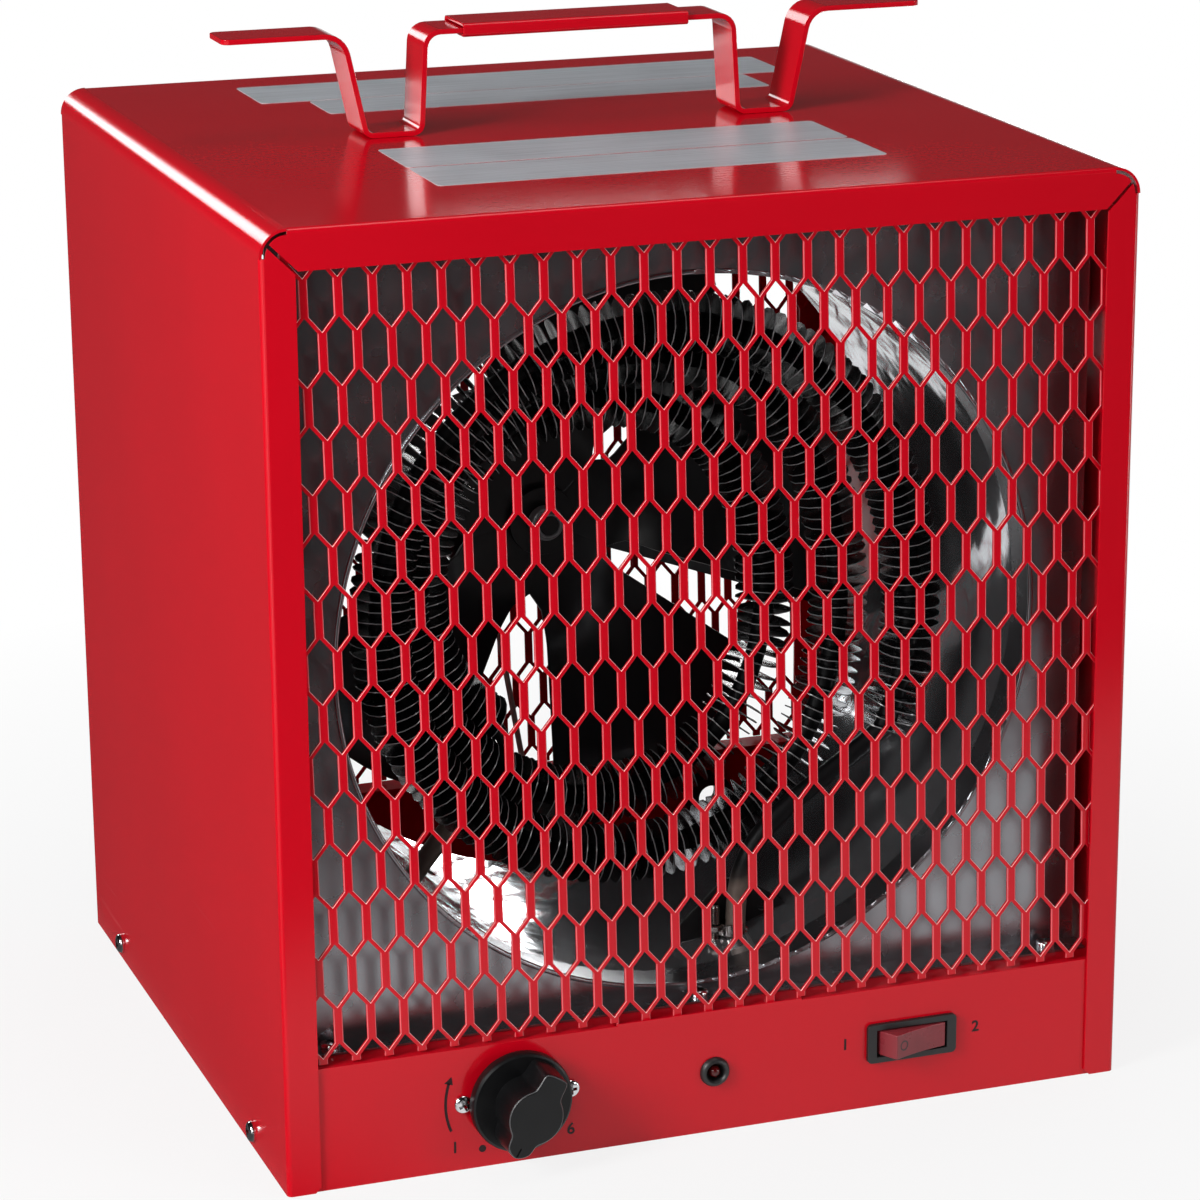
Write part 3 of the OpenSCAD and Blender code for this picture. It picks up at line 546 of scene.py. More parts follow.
class Nodes:
    """Short hand for the nodes of a material or a world."""

    def __init__(self, tree: bpy.types.NodeTree, space: str) -> None:
        """Starts with one kind of coordinates.

        Args:
            tree: Tree to add nodes to.
            space: Blender's name of the coordinates.
        """
        self.tree = tree
        self.place = self.add("TexCoord").outputs[space]

    def add(self, kind: str) -> bpy.types.Node:
        """A new node, by the last part of its type's name."""
        return self.tree.nodes.new("ShaderNode" + kind)

    def fill(self, target: Socket, value: Socket | float | Colour) -> None:
        """Links a socket to another, or sets it to a number or colour.

        Args:
            target: Socket to fill.
            value: What it gets.
        """
        if isinstance(value, Socket):
            self.tree.links.new(value, target)
        else:
            target.default_value = (*value, 1.0) if isinstance(value, tuple) else value

    def ramp(self, factor: Socket, *stops: tuple[float, float | Colour]) -> Socket:
        """A colour ramp over a factor.

        Args:
            factor: Socket that drives the ramp.
            stops: Place and grey or colour of the ramp's start and end.

        Returns:
            The colour socket of the ramp.
        """
        node = self.add("ValToRGB")
        for element, (place, value) in zip(node.color_ramp.elements, stops):
            element.position = place
            colour = value if isinstance(value, tuple) else (value, value, value)
            element.color = (*colour, 1.0)
        self.fill(node.inputs["Fac"], factor)
        return node.outputs["Color"]

    def mix(self, factor: Socket, first: Socket | Colour, second: Socket | Colour) -> Socket:
        """Mixes two colours by a factor.

        Args:
            factor: Socket of the share of the second colour.
            first: Colour at 0.
            second: Colour at 1.

        Returns:
            The mixed colour's socket.
        """
        node = self.add("Mix")
        node.data_type = "RGBA"
        for key, value in (("Factor", factor), ("A", first), ("B", second)):
            self.fill(node.inputs[key], value)
        return node.outputs[2]

    def math(self, operation: str, *values: Socket | float) -> Socket:
        """One sum on one to three values.

        Args:
            operation: Blender's name of the sum.
            values: Sockets or numbers.

        Returns:
            The result's socket.
        """
        node = self.add("Math")
        node.operation = operation
        for target, value in zip(node.inputs, values):
            self.fill(target, value)
        return node.outputs[0]

    def axis(self, name: str) -> Socket:
        """One coordinate, by its letter."""
        node = self.add("SeparateXYZ")
        self.fill(node.inputs[0], self.place)
        return node.outputs[name]


class Shader(Nodes):
    """The nodes of one material."""

    def __init__(self, name: str) -> None:
        """Starts a material with a plain principled shader.

        Args:
            name: Name of the material.
        """
        self.material = bpy.data.materials.new(name)
        self.material.use_nodes = True
        super().__init__(self.material.node_tree, "Object")
        self.bsdf = self.tree.nodes["Principled BSDF"]

    def set(self, **values: Socket | float) -> None:
        """Sets or links sockets of the principled shader, underscores standing for spaces."""
        for key, value in values.items():
            self.fill(self.bsdf.inputs[key.replace("_", " ")], value)

    def noise(self, size: float, detail: float, stretch: Point = (1, 1, 1),
              turn: Point = (0, 0, 0)) -> Socket:
        """A noise value on object coordinates.

        Args:
            size: Size of one blotch in metres.
            detail: Number of octaves.
            stretch: Extra factor along X, Y and Z.
            turn: Euler angles of the pattern.

        Returns:
            The factor socket of the noise.
        """
        mapping = self.add("Mapping")
        mapping.inputs["Scale"].default_value = [factor / size for factor in stretch]
        mapping.inputs["Rotation"].default_value = turn
        self.fill(mapping.inputs["Vector"], self.place)
        node = self.add("TexNoise")
        node.inputs["Scale"].default_value = 1.0
        node.inputs["Detail"].default_value = detail
        self.fill(node.inputs["Vector"], mapping.outputs["Vector"])
        return node.outputs["Fac"]

    def wander(self, size: float, detail: float, low: float | Colour,
               high: float | Colour) -> Socket:
        """A value that wanders between two ends in soft blotches.

        Args:
            size: Size of one blotch in metres.
            detail: Number of octaves.
            low: Number or colour at one end.
            high: Number or colour at the other end.

        Returns:
            The socket of the value.
        """
        return self.ramp(self.noise(size, detail), (0.3, low), (0.7, high))

    def bump(self, height: Socket, distance: float) -> None:
        """Adds a bump to what the normal already has.

        Args:
            height: Socket of the height.
            distance: Depth in metres.
        """
        node = self.add("Bump")
        node.inputs["Distance"].default_value = distance
        node.inputs["Strength"].default_value = 1.0
        self.fill(node.inputs["Height"], height)
        for old in self.bsdf.inputs["Normal"].links:
            self.fill(node.inputs["Normal"], old.from_socket)
        self.set(Normal=node.outputs["Normal"])


@dataclass(frozen=True)
class Enamel:
    """Gloss enamel on sheet: colour, its blotches, orange peel, rubbed marks and a darker, duller
    band low on the sides.
    """

    name: str
    colour: Colour
    roughness: float = 0.15
    gloss: float = 0.3
    peel: float = 0.00002
    scuffs_and_darkening: bool = False

    def scuffed_and_darkened(self, s: Shader, colour: Socket, rough: Socket) -> tuple[Socket, Socket]:
        """Rubs the sides low down with pale hair lines in patches, and makes the enamel a little
        darker and duller towards the bottom.

        Args:
            s: Nodes of the material.
            colour: Colour of the sound enamel.
            rough: Roughness of the sound enamel.

        Returns:
            The rubbed and darkened colour, and the roughness.
        """
        height = s.ramp(s.axis("Z"), (0.02, 1.0), (0.15, 0.0))
        side = s.ramp(s.math("ABSOLUTE", s.axis("X")), (0.1640, 0.0), (0.1646, 1.0))
        field = s.math("MULTIPLY", height, side)
        long = s.ramp(s.noise(0.004, 5, (1.0, 0.035, 1.0), (0.5, 0, 0)), (0.64, 0.0), (0.73, 1.0))
        fine = s.ramp(s.noise(0.0035, 5, (1.0, 1.0, 0.03), (0.25, 0, 0)), (0.68, 0.0), (0.75, 1.0))
        patch = s.ramp(s.noise(0.06, 3), (0.44, 0.0), (0.66, 1.0))
        lines = s.math("MULTIPLY", s.math("MAXIMUM", long, fine), patch)
        worn = s.math("MULTIPLY", s.math("MULTIPLY", lines, field), 0.55)
        # Low on the sides the enamel is mixed a little towards a darker, greyer red and made
        # duller.
        dull = s.math("MULTIPLY", field, 0.10)
        darker_share = s.math("MULTIPLY", s.wander(0.03, 5, 0.4, 1.0), dull)
        darker_red = s.ramp(s.noise(0.3, 1), (0.0, (0.36, 0.045, 0.055)), (1.0, (0.40, 0.06, 0.07)))
        pale = s.ramp(s.noise(0.5, 1), (0.0, (0.60, 0.12, 0.13)), (1.0, (0.66, 0.22, 0.22)))
        colour = s.mix(worn, s.mix(darker_share, colour, darker_red), pale)
        return colour, s.math("ADD", rough, s.math("MULTIPLY", dull, 0.5))

    def build(self) -> Material:
        """Makes the material.

        Returns:
            The material.
        """
        s = Shader(self.name)
        colour = s.wander(0.12, 4, shade(self.colour, 0.93), self.colour)
        rough = s.wander(0.05, 3, self.roughness * 0.9, self.roughness * 1.15)
        if self.scuffs_and_darkening:
            colour, rough = self.scuffed_and_darkened(s, colour, rough)
        s.set(Base_Color=colour, Roughness=rough, Specular_IOR_Level=self.gloss,
              Coat_Weight=0.1, Coat_Roughness=0.06)
        s.bump(s.noise(0.0022, 2), self.peel)
        s.bump(s.noise(0.06, 1), self.peel * 5)
        return s.material


@dataclass(frozen=True)
class BrightMetal:
    """Bare or plated metal with soft waviness and fine grain."""

    name: str
    colour: Colour
    roughness: float
    wave: float = 0.0001
    wave_size: float = 0.05
    grain: float = 0.000006
    bare: float = 1.0

    def build(self) -> Material:
        """Makes the material.

        Returns:
            The material.
        """
        s = Shader(self.name)
        s.set(Metallic=self.bare,
              Base_Color=s.wander(0.03, 4, shade(self.colour, 0.86), self.colour),
              Roughness=s.wander(0.02, 4, self.roughness * 0.8, self.roughness * 1.25))
        s.bump(s.noise(self.wave_size, 2), self.wave)
        s.bump(s.noise(0.0012, 2), self.grain)
        return s.material


@dataclass(frozen=True)
class Moulded:
    """Plastic, ceramic or painted small part with a fine grain."""

    name: str
    colour: Colour
    roughness: float
    grain: float = 0.00001
    grain_size: float = 0.0006
    transmission: float = 0.0
    gloss: float = 0.5

    def build(self) -> Material:
        """Makes the material.

        Returns:
            The material.
        """
        s = Shader(self.name)
        s.set(Transmission_Weight=self.transmission, Specular_IOR_Level=self.gloss,
              Base_Color=s.wander(0.01, 3, shade(self.colour, 0.8), self.colour),
              Roughness=s.wander(0.006, 3, self.roughness * 0.85, self.roughness * 1.15))
        s.bump(s.noise(self.grain_size, 2), self.grain)
        return s.material


@dataclass(frozen=True)
class Sheath:
    """Tube of the element: browned where it leaves the coil, black among the fins."""

    name: str = "browned_tube"
    brown: Colour = (0.17, 0.13, 0.11)
    black: Colour = (0.004, 0.004, 0.0045)
    axis: float = 0.187
    coil: float = 0.1128
    fade: float = 0.004

    def build(self) -> Material:
        """Makes the material.

        Returns:
            The material.
        """
        s = Shader(self.name)
        up = s.math("SUBTRACT", s.axis("Z"), self.axis)
        square = s.math("ADD", s.math("POWER", s.axis("X"), 2.0), s.math("MULTIPLY", up, up))
        near = s.ramp(s.math("SQRT", square), (self.coil, 1.0), (self.coil + self.fade, 0.0))
        brown = s.wander(0.012, 4, shade(self.brown, 0.7), self.brown)
        black = s.wander(0.01, 2, self.black, shade(self.black, 1.4))
        s.set(Metallic=0.35, Specular_IOR_Level=0.2, Base_Color=s.mix(near, brown, black),
              Roughness=s.wander(0.004, 3, 0.42, 0.55))
        s.bump(s.noise(0.0012, 2), 0.00001)
        return s.material


@dataclass(frozen=True)
class Foil:
    """Silver foil of the bare plates, rolled in one direction."""

    name: str = "silver_foil"
    colour: Colour = (0.64, 0.67, 0.71)

    def build(self) -> Material:
        """Makes the material.

        Returns:
            The material.
        """
        s = Shader(self.name)
        streak = s.noise(0.0012, 4, (0.02, 1.0, 1.0))
        s.set(Metallic=0.35, Roughness=s.wander(0.02, 3, 0.36, 0.5),
              Base_Color=s.ramp(streak, (0.35, shade(self.colour, 0.8)), (0.65, self.colour)))
        s.bump(s.noise(0.012, 2), 0.00012)
        s.bump(streak, 0.00001)
        return s.material


@dataclass(frozen=True)
class Ink:
    """Dark screen print on the control panel."""

    name: str = "panel_print"
    colour: Colour = (0.016, 0.004, 0.005)

    def build(self) -> Material:
        """Makes the material.

        Returns:
            The material.
        """
        s = Shader(self.name)
        worn = s.noise(0.0008, 3)
        s.set(Roughness=0.5, Specular_IOR_Level=0.3,
              Base_Color=s.ramp(worn, (0.4, self.colour), (0.75, shade(self.colour, 1.9))))
        s.bump(s.noise(0.0004, 2), 0.000004)
        return s.material


Finish = Enamel | BrightMetal | Moulded | Sheath | Foil | Ink

FINISHES: dict[Slot | Trim, Finish] = {
    Slot.RED: Enamel("red_enamel", (0.54, 0.0015, 0.010), scuffs_and_darkening=True),
    Slot.SHEET: BrightMetal("coated_sheet", (0.34, 0.34, 0.36), 0.25, 0.00012, 0.08, bare=0.95),
    Slot.DRUM: BrightMetal("polished_sheet", (0.84, 0.86, 0.90), 0.08, 0.0006, 0.03, bare=0.93),
    Slot.SHEATH: Sheath(),
    Slot.FINS: Moulded("black_oxide", (0.003, 0.003, 0.0035), 0.25, gloss=0.5),
    Slot.BLACK_METAL: Moulded("black_paint", (0.005, 0.005, 0.0055), 0.40, gloss=0.3),
    Slot.ZINC: BrightMetal("zinc_plate", (0.62, 0.62, 0.63), 0.26),
    Slot.MOTOR: Moulded("motor_paint", (0.025, 0.025, 0.028), 0.42),
    Slot.BRASS: BrightMetal("bearing_metal", (0.6, 0.45, 0.2), 0.35),
    Slot.CERAMIC: Moulded("ceramic", (0.66, 0.63, 0.56), 0.55),
    Slot.BLACK: Moulded("black_moulding", (0.011, 0.0105, 0.011), 0.42, 0.00002),
    Slot.LAMP: Moulded("red_lens", (0.10, 0.003, 0.004), 0.08, 0.0, 0.001, 0.3),
    Slot.ROCKER: Moulded("red_rocker", (0.22, 0.022, 0.030), 0.30),
    Slot.SCREW: BrightMetal("bright_screw", (0.78, 0.78, 0.80), 0.14),
    Slot.WIRE: Moulded("wire_cover", (0.55, 0.53, 0.47), 0.7),
    Trim.FOIL: Foil(),
    Trim.DULLED: BrightMetal("dulled_steel", (0.22, 0.20, 0.19), 0.22),
    Trim.DIAL: Moulded("dial_black", (0.0045, 0.0045, 0.005), 0.36, 0.00002, gloss=0.3),
    Trim.INK: Ink(),
    # Painted highlight: light grey standing in for the lit rings of a collar that is black metal.
    Trim.COLLAR: Moulded("collar_painted_highlight", (0.20, 0.20, 0.205), 0.25, gloss=0.8),
    # Painted highlight: lighter pink enamel on the strands' side-facing rounded edges, standing in
    # for lamp glints.
    Trim.STRAND_EDGE: Enamel("red_painted_side_glint", (0.66, 0.10, 0.115), gloss=0.6),
    # Painted highlight: pale pink enamel on the strands' up-facing rounded edges, standing in for
    # the key lamp's glints.
    Trim.STRAND_TOP: Enamel("red_painted_top_highlight", (0.85, 0.46, 0.46), gloss=0.8),
    # Painted highlight: lighter grey for the fin rims, standing in for the glints along each rim.
    Trim.FIN_EDGE: Moulded("fin_edge", (0.15, 0.15, 0.155), 0.22, gloss=1.0),
    # Painted highlight: lighter grey for the grip's front bevels, standing in for the light line
    # along its outline.
    Trim.DIAL_EDGE: Moulded("dial_edge", (0.06, 0.06, 0.062), 0.36, gloss=0.5),
}


@dataclass(frozen=True)
class SoftBox:
    """One lamp of the studio: its name, place, width and height in metres, and power."""

    name: str
    place: Point
    size: Pair
    watts: float


@dataclass
class Stage:
    """Camera, floor, lamps and world, in metres."""

    eye: Point = (-0.52693, -1.51481, 0.64095)
    aim: Point = (0.05955, 0.0, 0.13446)
    roll: float = 0.092
    lens: float = 127.41
    sensor: float = 36.0
    shift: Pair = (-0.1, 0.05)
    near: float = 0.05
    floor_size: float = 8.0
    lit: Point = (0.0, 0.0, 0.18)
    lamps: tuple[SoftBox, ...] = (
        SoftBox("key", (-1.15, -0.6, 0.75), (0.4, 0.6), 19),
        SoftBox("front", (-1.1, -1.8, 0.8), (0.5, 0.6), 5.5),
        SoftBox("fill", (1.3, -1.5, 0.6), (0.4, 0.6), 6),
        SoftBox("top", (0.5, -0.35, 2.3), (1.2, 0.6), 7),
        SoftBox("rear", (-0.75, 2.4, 1.0), (0.45, 0.7), 6),
        SoftBox("left strip", (-0.62, -0.55, 0.11), (0.16, 0.2), 0.15),
        SoftBox("right strip", (0.72, -0.50, 0.11), (0.16, 0.2), 0.6),
        SoftBox("back", (0.5, 0.95, 0.12), (0.5, 0.22), 3),
    )

    def toward(self, place: Point, target: Point, roll: float = 0.0) -> Matrix:
        """A place with -Z turned to a target.

        Args:
            place: Where the lamp or camera stands.
            target: What it looks at.
            roll: Turn about its own axis in degrees.

        Returns:
            The place and turn.
        """
        way = Vector(target) - Vector(place)
        turn = way.to_track_quat("-Z", "Y").to_matrix()
        turn = turn @ Matrix.Rotation(math.radians(roll), 3, "Z")
        return Matrix.Translation(place) @ turn.to_4x4()

    def camera(self) -> None:
        """Puts the camera where the picture was taken from."""
        data = bpy.data.cameras.new("camera")
        data.lens = self.lens
        data.sensor_width = self.sensor
        data.shift_x, data.shift_y = self.shift
        data.clip_start = self.near
        rig = bpy.data.objects.new("camera", data)
        rig.matrix_world = self.toward(self.eye, self.aim, self.roll)
        bpy.context.scene.collection.objects.link(rig)
        bpy.context.scene.camera = rig

    def lamp(self, box: SoftBox) -> None:
        """Adds one soft box that looks at the heater.

        Args:
            box: Name, place, size and power.
        """
        data = bpy.data.lights.new(box.name, "AREA")
        data.shape = "RECTANGLE"
        data.size, data.size_y = box.size
        data.energy = box.watts
        lamp = bpy.data.objects.new(box.name, data)
        lamp.matrix_world = self.toward(box.place, self.lit)
        lamp.visible_camera = False
        bpy.context.scene.collection.objects.link(lamp)

    def world(self) -> None:
        """White to the camera, and for reflections a white backdrop behind in a dim room."""
        world = bpy.data.worlds.new("room")
        world.use_nodes = True
        n = Nodes(world.node_tree, "Generated")

        def fade(axis: str, *stops: Pair) -> Socket:
            """A grey that changes with one part of the direction.

            Args:
                axis: Letter of the part, which runs from -1 to 1.
                stops: Part and grey where the change starts and ends.

            Returns:
                The grey's socket.
            """
            half = n.math("MULTIPLY_ADD", n.axis(axis), 0.5, 0.5)
            return n.ramp(half, *(((part + 1) / 2, grey) for part, grey in stops))

        behind = fade("Y", (-0.1, 0.10), (0.25, 1.0))
        right = fade("X", (-0.2, 0.05), (0.0, 1.0))
        low = fade("Z", (-0.02, 0.9), (0.09, 0.04))
        backdrop = n.math("MULTIPLY", low, n.math("MULTIPLY", behind, right))
        path = n.add("LightPath").outputs
        room = n.mix(path["Is Glossy Ray"], (0.30, 0.30, 0.31), backdrop)
        seen = n.math("MAXIMUM", path["Is Camera Ray"], path["Is Transmission Ray"])
        white = n.mix(seen, room, (1.0, 1.0, 1.0))
        n.fill(n.tree.nodes["Background"].inputs["Color"], white)
        bpy.context.scene.world = world

    def floor_material(self) -> Material:
        """Pale, with two dark fields that the heater's flat faces mirror.

        Returns:
            The material, white to the camera away from the heater's shadow.
        """
        s = Shader("pale_floor")
        length = s.add("VectorMath")
        length.operation = "LENGTH"
        s.fill(length.inputs[0], s.place)
        away = length.outputs["Value"]
        s.set(Roughness=0.85, Specular_IOR_Level=0.1,
              Base_Color=s.ramp(away, (0.35, 0.55), (0.95, 0.30)))
        x, y = s.axis("X"), s.axis("Y")
        ahead = s.math("SUBTRACT", s.math("MULTIPLY", y, -1.0), s.math("MULTIPLY", x, 0.4))
        front = s.math("MULTIPLY", s.ramp(ahead, (0.37, 0.0), (0.47, 1.0)),
                       s.ramp(s.math("ADD", x, 0.5), (0.05, 0.0), (0.20, 1.0)))
        rear = s.math("MULTIPLY", s.ramp(s.math("ADD", y, 0.3), (0.05, 0.0), (0.15, 1.0)),
                      s.ramp(s.math("MULTIPLY", x, -1.0), (0.10, 0.0), (0.17, 1.0)))
        mirrored = s.math("MINIMUM", s.ramp(front, (0.0, 0.85), (1.0, 0.05)),
                          s.ramp(rear, (0.0, 0.85), (1.0, 0.07)))
        path = s.add("LightPath").outputs
        white = s.math("MULTIPLY", path["Is Camera Ray"], s.ramp(away, (0.20, 0.84), (0.60, 1.0)))
        glow = s.add("Emission")
        s.fill(glow.inputs["Color"], s.math("MAXIMUM", path["Is Camera Ray"], mirrored))
        blend = s.add("MixShader")
        s.fill(blend.inputs[0], s.math("MAXIMUM", white, path["Is Glossy Ray"]))
        s.fill(blend.inputs[1], s.bsdf.outputs[0])
        s.fill(blend.inputs[2], glow.outputs[0])
        s.fill(s.tree.nodes["Material Output"].inputs["Surface"], blend.outputs[0])
        return s.material

    def floor(self) -> None:
        """A pale floor that keeps the heater's shadow."""
        bpy.ops.object.select_all(action="DESELECT")
        bpy.ops.mesh.primitive_plane_add(size=self.floor_size)
        floor = bpy.context.object
        floor.name = "floor"
        floor.data.materials.append(self.floor_material())

    def build(self) -> None:
        """Sets up everything round the heater."""
        bpy.context.scene.view_settings.view_transform = "Standard"
        self.camera()
        self.world()
        self.floor()
        for box in self.lamps:
            self.lamp(box)


class PaintShop:
    """Makes every finish once, gives it to the pieces and ties them to the frame."""

    def __init__(self, frame: dict) -> None:
        """Keeps the frame's nodes and makes the finishes.
        """
        self.nodes: dict[str, Piece] = frame["nodes"]
        rows = frame["record"]["subparts"]
        self.slots = {row["node"]: Slot(row["material_slot"]) for row in rows}
        self.coats = {key: finish.build() for key, finish in FINISHES.items()}

    def dress_nodes(self) -> None:
        """Gives every node of the frame its finish."""
        for name, node in self.nodes.items():
            node.data.materials.clear()
            node.data.materials.append(self.coats[self.slots[name]])
            LOG.info("node %s: %s", name, self.slots[name].value)

    def hand_over(self, piece: Piece, body: Body, slot: Slot, *nodes: str,
                  coat: Slot | Trim | None = None) -> None:
        """Coats a finished piece and ties it to its body.

        Args:
            piece: The finished piece.
            body: Body that it rides on.
            slot: Material slot of the record.
            nodes: Nodes of the frame that it stands for.
            coat: Another finish than the slot's own.
        """
        piece.data.materials.clear()
        piece.data.materials.append(self.coats[coat or slot])
        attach(piece, body.value)
        if nodes:
            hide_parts(*nodes)
        LOG.info("piece %s on %s, %d faces", piece.name, body.value, len(piece.data.polygons))

    def edge(self, piece: Piece, coat: Trim,
             test: Callable[[bpy.types.MeshPolygon], bool]) -> None:
        """Gives the edges of a coated piece a material of their own, used here for painted
        highlights along rounded edges.

        Args:
            piece: The coated piece.
            coat: Finish of the edges, a painted highlight.
            test: Tells whether a face is part of an edge.
        """
        index = len(piece.data.materials)
        piece.data.materials.append(self.coats[coat])
        for face in piece.data.polygons:
            if test(face):
                face.material_index = index


@dataclass
class SheetWork:
    """Folded sheets and pressings, taken from the frame and given soft edges."""

    edge: float = 0.22
    sharp: float = 50.0
    flat: float = 0.6
    weld: float = 0.002
    smooth: float = 32.0
    casing: tuple[str, ...] = ("cabinet_shell", "base_pan", "baffle_plate", "air_drum",
                               "element_saddle")

    def dress(self, shop: PaintShop, node: str, body: Body, coat: Slot | None = None) -> None:
        """Puts a merged copy with rounded edges in the place of one node.

        Args:
            shop: Holder of the nodes and finishes.
            node: Name of the node.
            body: Body that it rides on.
            coat: Another finish than its slot's own.
        """
        piece = Bench.copy(shop.nodes[node], UPRIGHT)
        piece.parent = None
        piece.name = piece.data.name = node + "_sheet"
        Bench.edit(piece)
        bpy.ops.mesh.remove_doubles(threshold=self.weld * MM)
        bpy.ops.mesh.dissolve_limited(angle_limit=math.radians(self.flat))
        Bench.done()
        Bench.soften(piece, self.edge, 2, self.sharp)
        Bench.smooth(piece, self.smooth)
        shop.hand_over(piece, body, shop.slots[node], node, coat=coat)

    def build(self, shop: PaintShop) -> None:
        """Makes the sheets of the casing.

        Args:
            shop: Holder of the nodes and finishes.
        """
        for node in self.casing:
            self.dress(shop, node, Body.CASING)


@dataclass
class Fan:
    """Five broad blades pressed from one sheet, their boss, the ringed collar and the shaft.

    Attributes:
        edges: Angles of a blade's two edges.
        reach: Inner and outer radius of a blade.
        tip: Radius where the tips' rounding starts, its run and its turn.
        root: Radius where the blades part, its run, and the plate's half angle and skew.
        level: Radius where the plate's level part ends, the run to the full pitch, and its depth.
        ring: Radius over the shaft and height of each ring of the collar.
    """

    middle: Point = (0.0, 45.4, 187.0)
    collar: Point = (0.0, 40.0, 187.0)
    count: int = 5
    first: float = 11.2
    grid: tuple[int, int] = (36, 12)
    edges: Pair = (-29.7, 24.5)
    reach: Pair = (9.0, 122.8)
    tip: Point = (112.0, 10.8, 5.0)
    root: tuple[float, float, float, float] = (39.0, 7.0, 36.5, 2.0)
    level: Point = (30.0, 22.0, 0.8)
    pitch: float = 21.6
    bow: float = 900.0
    thick: float = 1.6
    edge: float = 0.35
    bore: float = 4.05
    ring: tuple[Pair, ...] = ((0.0, -1.6), (2.9, -1.6), (2.9, 2.2), (2.6, 2.9), (2.1, 3.2),
                              (1.7, 2.9), (1.45, 3.1), (1.1, 5.4), (0.8, 5.8), (0.4, 5.8),
                              (0.15, 5.5), (0.0, 5.2))

    def surface(self, r: float, v: float) -> Vector:
        """A point of a blade about Z that points along X and is bowed across.

        Args:
            r: Radius.
            v: 0 at one edge, 1 at the other.

        Returns:
            The point in millimetres.
        """
        tip, tip_run, tip_turn = self.tip
        parting, root_run, spread, skew = self.root
        level, level_run, depth = self.level
        rim = max(0.0, (r - tip) / tip_run) ** 2 * tip_turn
        root = share((parting - r) / root_run) ** 2
        start, end = (a + (spread * math.copysign(1, a) - skew - a) * root - math.copysign(rim, a)
                      for a in self.edges)
        a = math.radians(start + v * (end - start))
        across = r * math.sin(a)
        ease = share((r - level) / level_run)
        ease = ease * ease * (3 - 2 * ease)
        slant = across * math.sin(math.radians(self.pitch)) + across ** 2 / (2 * self.bow)
        return Vector((r * math.cos(a), across, -(ease * slant + (1 - ease) * depth)))

    def make_blade(self) -> Piece:
        """One blade without thickness.

        Returns:
            The blade about Z.
        """
        bpy.ops.object.select_all(action="DESELECT")
        columns, rows = self.grid
        bpy.ops.mesh.primitive_grid_add(x_subdivisions=columns, y_subdivisions=rows, size=1.0)
        piece = bpy.context.object
        low, high = self.reach
        for vert in piece.data.vertices:
            r = low + (vert.co.x + 0.5) * (high - low)
            vert.co = self.surface(r, vert.co.y + 0.5) * MM
        return piece

    def build(self, shop: PaintShop) -> None:
        """Makes the blades, the boss, the collar and the shaft.

        Args:
            shop: Holder of the nodes and finishes.
        """
        blade = self.make_blade()
        angles = [math.radians(self.first + i * 360 / self.count) for i in range(self.count)]
        copies = [Bench.copy(blade, Matrix.Rotation(angle, 4, "Z")) for angle in angles]
        blades = Bench.join(copies, "fan_sheet")
        Bench.drop(blade)
        Bench.thicken(blades, self.thick, self.edge, offset=-1.0)
        blades.data.transform(Bench.facing(self.middle, FRONTWARD))
        shop.hand_over(blades, Body.FAN, Slot.BLACK_METAL, "fan_blades")
        SheetWork().dress(shop, "fan_hub", Body.FAN)
        collar = Bench.ring("ringed_collar", [(self.bore + r, z) for r, z in self.ring])
        Bench.smooth(collar, 32)
        collar.data.transform(Bench.facing(self.collar, FRONTWARD))
        # The collar takes a light grey in place of its black metal: painted highlight on its rings.
        shop.hand_over(collar, Body.FAN, Slot.BLACK_METAL, "fan_collar", coat=Trim.COLLAR)
        SheetWork().dress(shop, "motor_shaft", Body.FAN, Slot.BLACK_METAL)


